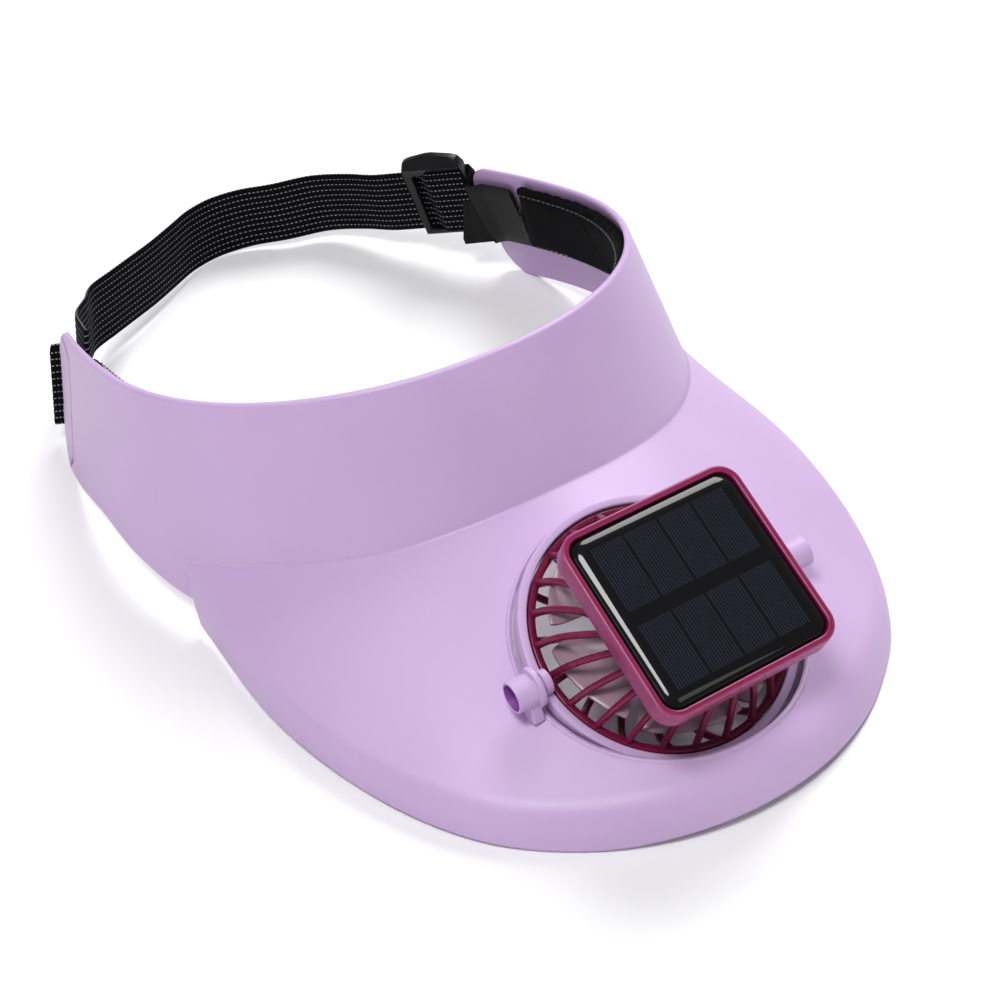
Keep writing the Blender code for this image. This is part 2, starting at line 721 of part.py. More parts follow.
def upright_sheet(name, line, spread, wall, material):
    """A strap standing on edge below a line, leaning with the band's flare across a chord of it."""
    columns = []
    for i, (x, y, z) in enumerate(line):
        ahead = line[min(i + spread, len(line) - 1)] - line[max(i - spread, 0)]
        out = Vector((-ahead[1], ahead[0], 0.0)).normalized()
        if out.x * x + out.y * y < 0:
            out = -out
        down = strap_down(out)
        columns.append([Vector((x, y, z)) + down * STRAP_WIDTH * k for k in (0.0, 1.0)])
    strap = add_object(name, sheet(name, columns), material, hat_frame)
    solidify(strap, wall, 0.0)


def smooth_line(points, steps):
    """A smooth line through points, in a number of steps from each point to the next."""
    points = np.array([tuple(p) for p in points])
    length = np.append(0.0, np.cumsum(np.hypot(*np.diff(points[:, :2], axis=0).T)))
    slopes = np.gradient(points, length, axis=0)
    places = np.interp(np.arange((len(points) - 1) * steps + 1) / steps, np.arange(len(points)), length)
    return [smooth_read(length, points, slopes, place) for place in places]


def make_straps():
    """The elastic, its doubled end at the left tab, the flap at the right tab and the buckle."""
    centre, along = buckle_place()
    out = Vector((-along.y, along.x, 0.0))
    if out.dot(centre) < 0:
        out = -out
    level = Vector((0.0, 0.0, -STRAP_TOP))
    weave = BUCKLE_WALL / 2 + STRAP_WALL / 2 + 2 * GAP
    route = [
        Vector((x * HEAD_HALF_WIDTH, TAB_REACH + y * STRAP_REACH, rise * STRAP_WIDTH)) + level
        for x, y, rise in STRAP_ROWS[:-1]
    ]
    step = BUCKLE_LENGTH / 2
    route += [
        centre + level + along * (step * ahead) + out * (weave * through)
        for ahead, through in ((-1.30, 1), (-0.98, 1), (-0.74, 1), (-0.16, -1), (0.10, -1), (0.75, -1), (1.30, -1))
    ]
    beside_loop = -2 * GAP - LOOP_WALL - STRAP_WALL / 2
    start = [band_point(share, STRAP_TOP, beside_loop) for share in (-0.95, -0.98)]
    upright_sheet("elastic_strap", smooth_line(start + route, 3), 7, STRAP_WALL, BLACK_WEAVE)

    over_bar = out * (BUCKLE_WALL / 2 + FLAP_WALL / 2 + GAP)
    beside_tab = -GAP - FLAP_SLACK - FLAP_WALL / 2
    flap = [centre + level + along * (step * ahead) + over_bar for ahead in (0.45, 1.10)]
    flap += [band_point(share, STRAP_TOP, beside_tab) for share in (1.0, 0.95, 0.90)]
    upright_sheet("strap_flap_right", smooth_line(flap, 4), 1, FLAP_WALL, BLACK_TRIM)

    loop = [band_point(share, LOOP_TOP, -GAP - LOOP_WALL / 2) for share in (-0.90, -0.94, -0.98)]
    loop.append(loop[-1] + (loop[-1] - loop[-2]).normalized() * LOOP_TAIL)
    upright_sheet("strap_loop_left", smooth_line(loop, 3), 1, LOOP_WALL, BLACK_WEAVE)

    window_height = STRAP_WIDTH + 2 * BUCKLE_PLAY
    height = window_height + BUCKLE_TOP_BAR + BUCKLE_FOOT_BAR
    bm = bmesh.new()
    made = bmesh.ops.create_cube(bm, size=1.0)
    bmesh.ops.scale(bm, verts=made["verts"], vec=(BUCKLE_LENGTH, BUCKLE_WALL, height))
    bmesh.ops.translate(bm, verts=made["verts"], vec=(0, 0, (BUCKLE_TOP_BAR - BUCKLE_FOOT_BAR) / 2))
    thin = [e for e in bm.edges if abs(e.verts[0].co.y - e.verts[1].co.y) > BUCKLE_WALL / 2]
    bmesh.ops.bevel(bm, geom=thin, offset=BUCKLE_BAR * 1.6, segments=3, profile=0.5, affect="EDGES", material=-1)
    buckle = add_object("slide_buckle", mesh_from_bmesh("slide_buckle", bm), BLACK_PLASTIC, hat_frame)
    down = strap_down(out)
    middle = Vector((centre.x, centre.y, -STRAP_TOP)) + down * STRAP_WIDTH / 2
    across = along.cross(down)
    turn = Matrix((along, across, -down)).transposed().to_euler()
    window_length = (BUCKLE_LENGTH - 3 * BUCKLE_BAR) / 2
    bm = bmesh.new()
    for side in (-1, 1):
        made = bmesh.ops.create_cube(bm, size=1.0)
        bmesh.ops.scale(bm, verts=made["verts"], vec=(window_length, 4 * BUCKLE_WALL, window_height))
        bmesh.ops.translate(bm, verts=made["verts"], vec=(side * (window_length + BUCKLE_BAR) / 2, 0, 0))
    windows = tool(add_object("buckle_windows", mesh_from_bmesh("buckle_windows", bm), None, None, TOOLS), hat_frame)
    for item in (buckle, windows):
        item.location = middle
        item.rotation_euler = turn
    boolean(buckle, windows, "DIFFERENCE")


def resting_tilt(outline):
    """The turn about X that sets the hindmost and the foremost parts at one height."""
    low, high = 0.0, math.radians(45)
    for _ in range(60):
        tilt = (low + high) / 2
        height = outline[:, 1] * math.cos(tilt) - outline[:, 0] * math.sin(tilt)
        rear = height[outline[:, 0] > 0].min()
        front = height[outline[:, 0] <= 0].min()
        if rear < front:
            high = tilt
        else:
            low = tilt
    return (low + high) / 2


def world_points(items):
    """All corners of the finished meshes, in world space."""
    bpy.context.view_layer.update()
    graph = bpy.context.evaluated_depsgraph_get()
    points = []
    for item in items:
        mesh = item.evaluated_get(graph).to_mesh()
        points += [tuple(item.matrix_world @ v.co) for v in mesh.vertices]
    return np.array(points)


band = make_crown_band()
brim = make_brim()
space = loft("brim_space", brim_rings(GAP, 3 * SKIRT_HEIGHT))
BRIM_SPACE = tool(add_object("brim_space", space, None, None, TOOLS), hat_frame)
make_sleeve(-1, "pivot_sleeve_left")
make_sleeve(1, "pivot_sleeve_right")
make_pod_ring()
cage_top = make_cage_upper()
cage_floor = make_cage_lower()
motor_top = make_motor(cage_floor)
make_impeller(motor_top)
make_panel(cage_top)
make_sweat_pad()
make_straps()

# Sets the hat down on its tabs and the front of its brim, centred over the origin
side_view = world_points([band, brim])[:, 1:]
hat_frame.rotation_euler.x = -resting_tilt(side_view)
everything = world_points([item for item in HAT.objects if item.type == "MESH"])
low, high = everything.min(axis=0), everything.max(axis=0)
hat_frame.location = (-(low[0] + high[0]) / 2, -(low[1] + high[1]) / 2, -low[2])
bpy.context.view_layer.update()
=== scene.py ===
"""The looks of a solar fan hat: an open-backed sun visor in lilac plastic, with a small fan hung in its brim,
a solar panel on the fan's guard, a foam sweat pad inside the band and a black elastic strap behind.

Metres. The hat's pieces are shaped in the hat's own frame, where the rim lies in the plane z = 0, X runs from
side to side and -Y is the front. The fan's pieces are shaped round the fan's axis. One matrix for each then
sets them in the world.
"""

import json
import math

import bmesh
import bpy
import numpy as np
from mathutils import Matrix, Vector
from mathutils.bvhtree import BVHTree

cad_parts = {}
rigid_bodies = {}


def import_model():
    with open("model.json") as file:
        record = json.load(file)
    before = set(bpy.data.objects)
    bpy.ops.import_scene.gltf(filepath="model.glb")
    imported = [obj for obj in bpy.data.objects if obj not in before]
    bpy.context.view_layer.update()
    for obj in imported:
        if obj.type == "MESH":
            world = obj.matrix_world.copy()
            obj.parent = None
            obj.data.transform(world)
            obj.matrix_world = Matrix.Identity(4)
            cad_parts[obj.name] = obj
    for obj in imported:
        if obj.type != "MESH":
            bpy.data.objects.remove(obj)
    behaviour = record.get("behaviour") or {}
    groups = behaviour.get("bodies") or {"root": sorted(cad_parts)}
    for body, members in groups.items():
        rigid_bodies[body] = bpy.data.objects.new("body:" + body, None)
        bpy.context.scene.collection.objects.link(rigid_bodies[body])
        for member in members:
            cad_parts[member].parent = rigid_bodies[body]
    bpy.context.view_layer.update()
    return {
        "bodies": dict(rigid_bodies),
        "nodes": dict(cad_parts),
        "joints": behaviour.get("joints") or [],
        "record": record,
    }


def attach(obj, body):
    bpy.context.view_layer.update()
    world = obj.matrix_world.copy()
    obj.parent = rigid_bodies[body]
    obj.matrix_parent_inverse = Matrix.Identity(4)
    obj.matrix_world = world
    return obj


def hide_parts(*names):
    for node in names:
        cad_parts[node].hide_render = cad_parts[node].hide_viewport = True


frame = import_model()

# How the hat lies. It rests on its two tabs and the front of its brim, so its rim tips back. The fan's axis,
# leaned by the pod's own tilt, shows by how much, and the fan's pivot shows where.
POD_TILT = math.radians(43.5)
FAN_FORWARD = 0.1510
FAN_BELOW_RIM = 0.0662
joints = {joint["name"]: joint for joint in frame["joints"]}
pivot = Matrix.Translation(joints["pod_tilt"]["pos_m"])
spin_axis = Vector(joints["fan_spin"]["axis"])
pod_lean = math.atan2(-spin_axis.y, spin_axis.z)
FAN = pivot @ Matrix.Rotation(pod_lean, 4, "X")
fan_place = Matrix.Translation((0, FAN_FORWARD, FAN_BELOW_RIM))
HAT = pivot @ Matrix.Rotation(pod_lean - POD_TILT, 4, "X") @ fan_place

# The camera, a short telephoto left of the hat's front and above its rim, rolled a little as in the
# photograph
CAMERA_AZIMUTH = math.radians(-24.22)
CAMERA_ELEVATION = math.radians(25.58)
CAMERA_ROLL = math.radians(-13.96)
CAMERA_AIM = (-0.04807, -0.17590, 0.0)
CAMERA_DISTANCE = 0.48521
CAMERA_LENS = 75.6
camera_data = bpy.data.cameras.new("camera")
camera_data.lens = CAMERA_LENS
camera_data.sensor_width = 36.0
camera_data.clip_start = 0.01
camera = bpy.data.objects.new("camera", camera_data)
bpy.context.scene.collection.objects.link(camera)
look = Matrix.Rotation(CAMERA_AZIMUTH, 4, "Z") @ Matrix.Rotation(math.pi / 2 - CAMERA_ELEVATION, 4, "X")
look = look @ Matrix.Rotation(CAMERA_ROLL, 4, "Z") @ Matrix.Translation((0, 0, CAMERA_DISTANCE))
camera.matrix_world = HAT @ Matrix.Translation(CAMERA_AIM) @ look
bpy.context.scene.camera = camera

# The crown band: the upright wall that goes round the front and sides of the head, injection moulded in lilac
# polypropylene, flared outwards and open behind. Each end is a tab with rounded corners, and a moulded groove
# on its outside marks off the strip that the strap is folded over.
HEAD_HALF_WIDTH = 0.0800
HEAD_FRONT_DEPTH = 0.0936
RIM_POWER = 2.1
TAB_REACH = 0.0600
TAB_PINCH = 0.0051
TAB_CORNER = 0.0110
BAND_WALL = 0.0022
BAND_DEPTH = 0.0460
BAND_EDGE_RADIUS = 0.0009
GAP = 0.0003
# Share along the half band from its front centre, flare in degrees, depth and brim joint as shares of
# BAND_DEPTH
BAND_ROWS = np.array((
    (0.00, 18.0, 0.93, 0.850),
    (0.12, 15.5, 1.00, 0.895),
    (0.25, 13.0, 1.14, 0.965),
    (0.38, 12.0, 1.27, 0.985),
    (0.50, 12.0, 1.29, 1.010),
    (0.62, 13.5, 1.13, 1.010),
    (0.75, 14.5, 0.99, 0.980),
    (0.88, 15.0, 0.96, 0.950),
    (1.00, 14.0, 0.95, 0.940),
))
BAND_COLUMNS = 260
BAND_LEVELS = 90
# The outer share of each half band, where the groove is, takes half the columns
TAB_STRIP = 0.100
# The groove's route as places before the tab's end and below the rim
GROOVE_ROUTE = (
    (0.0050, 0.0010), (0.0120, 0.0032), (0.0165, 0.0062), (0.0172, 0.0100), (0.0160, 0.0330),
    (0.0150, 0.0385), (0.0100, 0.0425),
)
GROOVE_WIDTH = 0.0016
GROOVE_DEPTH = 0.0010
# Where the strap folds round it, the tab's end is drawn in a little
NOTCH_TOP = 0.0070
NOTCH_BOTTOM = 0.0270
NOTCH_DEPTH = 0.0016
NOTCH_EASE = 0.0030
# How much painted shade, the deeper inner colour, the back of a wall shows
PAINTED_BACK_SHADE = 0.20


def linear(code):
    """An sRGB hex colour as a linear colour with its alpha."""
    parts = [int(code[i : i + 2], 16) / 255 for i in (1, 3, 5)]
    return [v / 12.92 if v <= 0.04045 else ((v + 0.055) / 1.055) ** 2.4 for v in parts] + [1.0]


def add_node(tree, kind, settings=None, links=None):
    """One shader node, with its settings by name or place and the sources of its inputs."""
    made = tree.nodes.new("ShaderNode" + kind)
    for name, value in (settings or {}).items():
        if isinstance(name, int) or name in made.inputs:
            made.inputs[name].default_value = value
        else:
            setattr(made, name, value)
    for name, source in (links or {}).items():
        tree.links.new(source, made.inputs[name])
    return made


def new_finish(name, settings):
    """A material with its tree and its shader, whose sockets take the settings."""
    material = bpy.data.materials.new(name)
    material.use_nodes = True
    shader = material.node_tree.nodes["Principled BSDF"]
    for socket, value in settings.items():
        shader.inputs[socket].default_value = value
    return material, material.node_tree, shader


def feed(tree, shader, sources):
    for socket, source in sources.items():
        tree.links.new(source, shader.inputs[socket])


def noise(tree, place, size, detail):
    """Cloudy noise; its size is in the place's own unit."""
    return add_node(tree, "TexNoise", {"Scale": 1 / size, "Detail": detail}, {"Vector": place}).outputs[0]


def between(tree, value, low, high):
    """A value from 0 to 1, brought between two numbers."""
    return add_node(tree, "MapRange", {"To Min": low, "To Max": high}, {"Value": value}).outputs[0]


def bumps(tree, height, strength, distance):
    return add_node(tree, "Bump", {"Strength": strength, "Distance": distance}, {"Height": height}).outputs[0]


def mixed(tree, share, first, second):
    """A colour between two, each a hex code or a node's output."""
    settings, links = {"data_type": "RGBA"}, {0: share}
    for socket, colour in ((6, first), (7, second)):
        if isinstance(colour, str):
            settings[socket] = linear(colour)
        else:
            links[socket] = colour
    return add_node(tree, "Mix", settings, links).outputs[2]


def moulded_lilac():
    """Polypropylene from a spark-eroded mould: satin and a little cloudy from the flow. Where its 'inner'
    attribute is set, its colour goes towards a deep purple: painted shade on the walls' hidden backs, in the
    tabs' grooves and in the sleeves' bores."""
    settings = {"IOR": 1.49, "Subsurface Weight": 0.12, "Subsurface Radius": (0.004, 0.002, 0.005)}
    material, tree, shader = new_finish("moulded_lilac_polypropylene", settings)
    place = add_node(tree, "TexCoord").outputs["Object"]
    # Flow clouds about 50 mm across, and mould grain of 0.35 mm
    cloud = noise(tree, place, 0.05, 3.0)
    grain = noise(tree, place, 0.00035, 2.0)
    # Painted shade: the 'inner' attribute takes the colour towards a deep purple where backs, grooves and
    # bores lie in shade
    inner = add_node(tree, "Attribute", {"attribute_name": "inner"}).outputs["Fac"]
    outside = mixed(tree, cloud, "#BE9FCB", "#C8ADD5")
    feed(tree, shader, {
        "Base Color": mixed(tree, inner, outside, "#8A4A9C"),
        "Roughness": between(tree, cloud, 0.36, 0.50),
        "Normal": bumps(tree, grain, 0.10, 0.0002),
    })
    return material


def smooth_read(knots, values, slopes, place):
    """One row read between the knots on a cubic with the given slopes."""
    i = min(max(int(np.searchsorted(knots, place, side="right")) - 1, 0), len(knots) - 2)
    span = knots[i + 1] - knots[i]
    t = (place - knots[i]) / span
    near = (2 * t**3 - 3 * t**2 + 1) * values[i] + (t**3 - 2 * t**2 + t) * span * slopes[i]
    return near + (3 * t**2 - 2 * t**3) * values[i + 1] + (t**3 - t**2) * span * slopes[i + 1]


def level_slopes(table):
    """A table's slopes; every column but a side place is level at the first row."""
    slopes = np.gradient(table[:, 1:], table[:, 0], axis=0)
    slopes[0, table[0, 1:] != 0.0] = 0.0
    return slopes


BAND_SLOPES = level_slopes(BAND_ROWS)


def band_section(share):
    return smooth_read(BAND_ROWS[:, 0], BAND_ROWS[:, 1:], BAND_SLOPES, abs(share))


def rim_outline():
    """Half of the rim's inner line from the front centre to the tab's end, with its outward normals."""
    turn = np.linspace(0.0, math.pi / 2, 400)
    front_x = HEAD_HALF_WIDTH * np.sin(turn) ** (2 / RIM_POWER)
    front_y = -HEAD_FRONT_DEPTH * np.cos(turn).clip(0.0) ** (2 / RIM_POWER)
    rear_y = np.linspace(0.0, TAB_REACH, 160)[1:]
    rear_x = HEAD_HALF_WIDTH - TAB_PINCH * (rear_y / TAB_REACH) ** 2
    line = np.stack([np.append(front_x, rear_x), np.append(front_y, rear_y)], 1)
    length = np.append(0.0, np.cumsum(np.hypot(*np.diff(line, axis=0).T)))
    along = np.linspace(0.0, length[-1], 240)
    line = np.stack([np.interp(along, length, line[:, k]) for k in (0, 1)], 1)
    tangent = np.gradient(line, axis=0)
    tangent /= np.hypot(*tangent.T)[:, None]
    normal = np.stack([tangent[:, 1], -tangent[:, 0]], 1)
    normal[0] = (0.0, -1.0)
    return along / along[-1], line, normal, along[-1]


RIM_SHARE, RIM_LINE, RIM_NORMAL, RIM_LENGTH = rim_outline()


def rim_normal(share):
    side = -1.0 if share < 0 else 1.0
    x, y = [np.interp(abs(share), RIM_SHARE, RIM_NORMAL[:, k]) for k in (0, 1)]
    return Vector((side * x, y, 0.0))


def band_point(share, depth, outset):
    """A point at a depth below the rim, a distance outside the band's inner surface."""
    side = -1.0 if share < 0 else 1.0
    x, y = [np.interp(abs(share), RIM_SHARE, RIM_LINE[:, k]) for k in (0, 1)]
    reach = outset + depth * math.tan(math.radians(band_section(share)[0]))
    return Vector((side * x, y, -depth)) + rim_normal(share) * reach


def rounding(distance, radius):
    """How far a surface falls back at a distance from a rounded edge."""
    if distance >= radius:
        return 0.0
    return radius - math.sqrt(radius**2 - (radius - distance) ** 2)


def distance_to_route(x, y, route):
    nearest = 1.0
    for (ax, ay), (bx, by) in zip(route, route[1:]):
        span = (bx - ax) ** 2 + (by - ay) ** 2
        t = min(max(((x - ax) * (bx - ax) + (y - ay) * (by - ay)) / span, 0.0), 1.0)
        nearest = min(nearest, math.hypot(x - ax - t * (bx - ax), y - ay - t * (by - ay)))
    return nearest


def new_sheet(columns, rows, half=1.0):
    """A flat grid, with a layer for the places of its back and one for how much painted shade each point
    gets.
    """
    bm = bmesh.new()
    bmesh.ops.create_grid(bm, x_segments=columns, y_segments=rows, size=half)
    back = bm.verts.layers.float_vector.new("back")
    bm.verts.layers.float.new("inner")
    return bm, back


def give_wall(bm, back):
    """Closes an open sheet: its back goes to the places in the layer, joined to it along the border. The
    back's points get painted shade in the 'inner' layer, which the lilac plastic shows.
    """
    inner = bm.verts.layers.float["inner"]
    rim = {vert for vert in bm.verts if vert.is_boundary}
    for vert in bm.verts:
        vert[inner] = 0.0 if vert in rim else PAINTED_BACK_SHADE
    front = bm.verts[:]
    made = bmesh.ops.extrude_face_region(bm, geom=bm.faces[:], use_keep_orig=True)["geom"]
    for vert in made:
        if isinstance(vert, bmesh.types.BMVert):
            vert.co = vert[back]
    for vert in front:
        vert[inner] = 0.0
    bmesh.ops.recalc_face_normals(bm, faces=bm.faces)


def add_piece(name, bm, place, material, sharp=50.0):
    """A finished object, smooth but for its sharp edges, with its place in its mesh."""
    bmesh.ops.transform(bm, matrix=place, verts=bm.verts)
    mesh = bpy.data.meshes.new(name)
    bm.to_mesh(mesh)
    bm.free()
    if "back" in mesh.attributes:
        mesh.attributes.remove(mesh.attributes["back"])
    mesh.materials.append(material)
    mesh.shade_smooth()
    mesh.set_sharp_from_angle(angle=math.radians(sharp))
    piece = bpy.data.objects.new(name, mesh)
    bpy.context.scene.collection.objects.link(piece)
    return piece


def band_mesh():
    bm, back = new_sheet(BAND_COLUMNS, BAND_LEVELS)
    shades = {}
    for vert in bm.verts:
        column = 2 * abs(vert.co.x)
        share = column * (1 - TAB_STRIP)
        if column > 1.0:
            share = 1 - TAB_STRIP * (1 - math.sin(math.pi / 2 * (column - 1)))
        share = math.copysign(share, vert.co.x)
        level = (1 - math.cos(math.pi / 2 * (1 - vert.co.y))) / 2
        depth = BAND_DEPTH * band_section(share)[1]
        edge = min(level, 1 - level) * depth
        inset = min(level * depth - NOTCH_TOP, NOTCH_BOTTOM - level * depth) / NOTCH_EASE
        inset = min(max(inset, 0.0), 1.0)
        drawn_in = rounding(edge, TAB_CORNER) + NOTCH_DEPTH * inset**2 * (3 - 2 * inset)
        place = share * (1 - drawn_in / RIM_LENGTH)
        depth = BAND_DEPTH * band_section(place)[1]
        to_end = (1 - abs(share)) * RIM_LENGTH
        fall = rounding(min(edge, to_end), BAND_EDGE_RADIUS)
        trace = distance_to_route((1 - abs(place)) * RIM_LENGTH, level * depth, GROOVE_ROUTE)
        hollow = max(0.0, 1 - (2 * trace / GROOVE_WIDTH) ** 2)
        # Painted shade: each point in the groove takes its depth share as painted shade in the 'inner' layer,
        # so that the groove looks darker
        shades[vert] = hollow
        vert[back] = band_point(place, level * depth, fall)
        vert.co = band_point(place, level * depth, BAND_WALL - fall - GROOVE_DEPTH * hollow)
    give_wall(bm, back)
    inner = bm.verts.layers.float["inner"]
    for vert, shade in shades.items():
        vert[inner] = shade
    return bm


LILAC = moulded_lilac()
band = add_piece("crown_band_moulding", band_mesh(), HAT, LILAC)
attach(band, "root")
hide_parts("crown_band")

# The brim: a wide peak moulded in the same plastic and welded along the band. Its top is slightly crowned,
# its outer edge rolls over into a short skirt, and its rear corners are rounded.
BRIM_HALF_WIDTH = 0.0906
BRIM_FRONT = 0.1907
BRIM_DROP = 0.0935
BRIM_WALL = 0.0024
BRIM_CROWN = 0.0022
SHOULDER_RADIUS = 0.0070
SKIRT_HEIGHT = 0.0106
JOINT_END = 0.514
BRIM_EDGE_RADIUS = 0.0009
REAR_CORNER = 0.010
REAR_CORNER_REST = 0.95
FILLET_RADIUS = 0.0008
BURIED = 0.0001
# The shoulder starts at most this share of the way up the top, whose rows crowd towards the band by a power
SHOULDER_SHARE = 0.7
TOP_CROWD = 1.5
# About the length of half the brim along its outer edge
BRIM_HALF_LENGTH = 0.25
# Share along the half brim, then the shoulder's side, forward and downward places as shares of
# BRIM_HALF_WIDTH, BRIM_FRONT and BRIM_DROP
BRIM_ROWS = np.array((
    (0.000, 0.000, 1.000, 1.000),
    (0.167, 0.262, 0.980, 0.998),
    (0.333, 0.514, 0.919, 0.986),
    (0.500, 0.751, 0.817, 0.928),
    (0.667, 0.913, 0.658, 0.842),
    (0.833, 1.000, 0.458, 0.726),
    (1.000, 0.993, 0.221, 0.593),
))
BRIM_SLOPES = level_slopes(BRIM_ROWS)
BRIM_COLUMNS = 300
TOP_ROWS = 64
ROLL_ROWS = 14
SKIRT_ROWS = 10
HOLE_RADIUS = 0.0392
HOLE_TILT = math.radians(35.0)


def joint_depth(share):
    return BAND_DEPTH * band_section(share)[2]


def shoulder(share):
    """The brim's virtual corner between its top and its skirt."""
    side = -1.0 if share < 0 else 1.0
    wide, front, drop = smooth_read(BRIM_ROWS[:, 0], BRIM_ROWS[:, 1:], BRIM_SLOPES, abs(share))
    return Vector((side * wide * BRIM_HALF_WIDTH, -front * BRIM_FRONT, -drop * BRIM_DROP))


BRIM_WIDTH_FRONT = (shoulder(0.0) - band_point(0.0, joint_depth(0.0), BAND_WALL)).length


def brim_profile(share):
    """The brim's outer line at one share, from the band over the shoulder to the skirt's bottom."""
    on_band = share * JOINT_END
    root = band_point(on_band, joint_depth(on_band), BAND_WALL - BURIED)
    corner = shoulder(share)
    inward = root - corner
    start = corner + inward.normalized() * min(SHOULDER_RADIUS, SHOULDER_SHARE * inward.length)
    bulge = BRIM_CROWN * inward.length / BRIM_WIDTH_FRONT * (1 - abs(share)) * 4
    line = []
    for i in range(TOP_ROWS):
        t = (i / TOP_ROWS) ** TOP_CROWD
        line.append(root.lerp(start, t) + Vector((0, 0, bulge * t * (1 - t))))
    under = corner - Vector((0, 0, SHOULDER_RADIUS))
    for i in range(ROLL_ROWS):
        t = i / ROLL_ROWS
        line.append((1 - t) ** 2 * start + 2 * t * (1 - t) * corner + t**2 * under)
    for i in range(SKIRT_ROWS + 1):
        t = math.sin(math.pi / 2 * i / SKIRT_ROWS)
        line.append(under - Vector((0, 0, t * (SKIRT_HEIGHT - SHOULDER_RADIUS))))
    late = max(0.0, (abs(share) - 1 + REAR_CORNER) / REAR_CORNER)
    kept = REAR_CORNER_REST + (1 - REAR_CORNER_REST) * math.sqrt(1 - late**2)
    return [root.lerp(point, kept) for point in line]


def clear_of_band(point, share):
    """The point, moved out to the band's outer surface and the gap where it lies inside them."""
    wall = band_point(share, -point.z, BAND_WALL + GAP)
    inside = (wall - point).dot(rim_normal(share))
    return point + rim_normal(share) * max(inside, 0.0)


def brim_mesh():
    rows = TOP_ROWS + ROLL_ROWS + SKIRT_ROWS
    bm, back = new_sheet(BRIM_COLUMNS, rows)
    places = {}
    for vert in bm.verts:
        share = math.sin(math.pi / 2 * vert.co.x)
        row = round((1 - vert.co.y) / 2 * rows)
        places[vert] = (share, row)
    profiles = {share: brim_profile(share) for share, row in set(places.values()) if row == 0}
    for vert, (share, row) in places.items():
        vert.co = profiles[share][row]
    bm.normal_update()
    if sum(face.normal.z for face in bm.faces) < 0:
        bmesh.ops.reverse_faces(bm, faces=bm.faces)
        bm.normal_update()
    moves = {}
    for vert, (share, row) in places.items():
        below = (vert.co - profiles[share][rows]).length if row > rows - SKIRT_ROWS else 1.0
        to_end = (1 - abs(share)) * BRIM_HALF_LENGTH
        fall = rounding(min(below, to_end), BRIM_EDGE_RADIUS)
        from_band = (vert.co - profiles[share][0]).length if row < TOP_ROWS else 1.0
        fillet = Vector((0, 0, rounding(from_band, FILLET_RADIUS)))
        moves[vert] = vert.co - vert.normal * fall + fillet
        vert[back] = clear_of_band(vert.co - vert.normal * (BRIM_WALL - fall), share * JOINT_END)
    for vert, place in moves.items():
        vert.co = place
    give_wall(bm, back)
    return bm


def hole_cutter():
    bm = bmesh.new()
    turn = Matrix.Translation((0, -FAN_FORWARD, -FAN_BELOW_RIM)) @ Matrix.Rotation(HOLE_TILT, 4, "X")
    sizes = {"radius1": HOLE_RADIUS, "radius2": HOLE_RADIUS, "depth": HOLE_RADIUS}
    bmesh.ops.create_cone(bm, cap_ends=True, segments=160, matrix=turn, **sizes)
    return bm


def cut_away(piece, cutter):
    """Applies a Boolean cut to the piece's mesh and removes the cutter."""
    cut = piece.modifiers.new("cut", "BOOLEAN")
    cut.solver = "EXACT"
    cut.object = cutter
    graph = bpy.context.evaluated_depsgraph_get()
    mesh = bpy.data.meshes.new_from_object(piece.evaluated_get(graph))
    piece.modifiers.remove(cut)
    piece.data = mesh
    bpy.data.objects.remove(cutter)


brim_bm = brim_mesh()
brim_tree = BVHTree.FromBMesh(brim_bm)
brim = add_piece("brim_moulding", brim_bm, HAT, LILAC)
cut_away(brim, add_piece("fan_hole", hole_cutter(), HAT, LILAC))
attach(brim, "root")
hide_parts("brim")

# The hole's lip: a thin bead moulded round the fan's opening, which stiffens it. It follows the brim's
# surface.
LIP_HALF_WIDTH = 0.0009
LIP_HALF_HEIGHT = 0.0015
LIP_PROUD = 0.00045
LIP_STEPS = 160
LIP_OVERLAP = 0.0001


def bar_frames(points, up, widths, heights, closed=False):
    """Matrices that set a unit circle along a path, its width across the path and its height along up."""
    frames = []
    last = len(points) - 1
    for i, point in enumerate(points):
        before = points[i - 1] if closed or i > 0 else point
        after = points[(i + 1) % len(points)] if closed or i < last else point
        ahead = (after - before).normalized()
        side = ahead.cross(up).normalized()
        rise = side.cross(ahead)
        turn = Matrix((side * widths[i], rise * heights[i], ahead)).transposed().to_4x4()
        frames.append(Matrix.Translation(point) @ turn)
    return frames


def edges_of(verts, within=False):
    """The edges at some points, or only those that run between them."""
    edges = {edge for vert in verts for edge in vert.link_edges}
    return [edge for edge in edges if not within or all(end in verts for end in edge.verts)]


def sweep(bm, frames, sides, closed=False):
    """A bar made of one circle extruded from frame to frame, with its ends capped or joined."""
    made = bmesh.ops.create_circle(bm, cap_ends=not closed, segments=sides, radius=1.0, matrix=frames[0])
    first = ring = made["verts"]
    path = frames[1:] + ([frames[0]] if closed else [])
    before = frames[0]
    for after in path:
        grown = bmesh.ops.extrude_edge_only(bm, edges=edges_of(ring, within=True))["geom"]
        ring = [g for g in grown if isinstance(g, bmesh.types.BMVert)]
        bmesh.ops.transform(bm, matrix=after @ before.inverted(), verts=ring)
        before = after
    if closed:
        bmesh.ops.remove_doubles(bm, verts=first + ring, dist=1e-6)
    else:
        bmesh.ops.contextual_create(bm, geom=edges_of(ring, within=True))


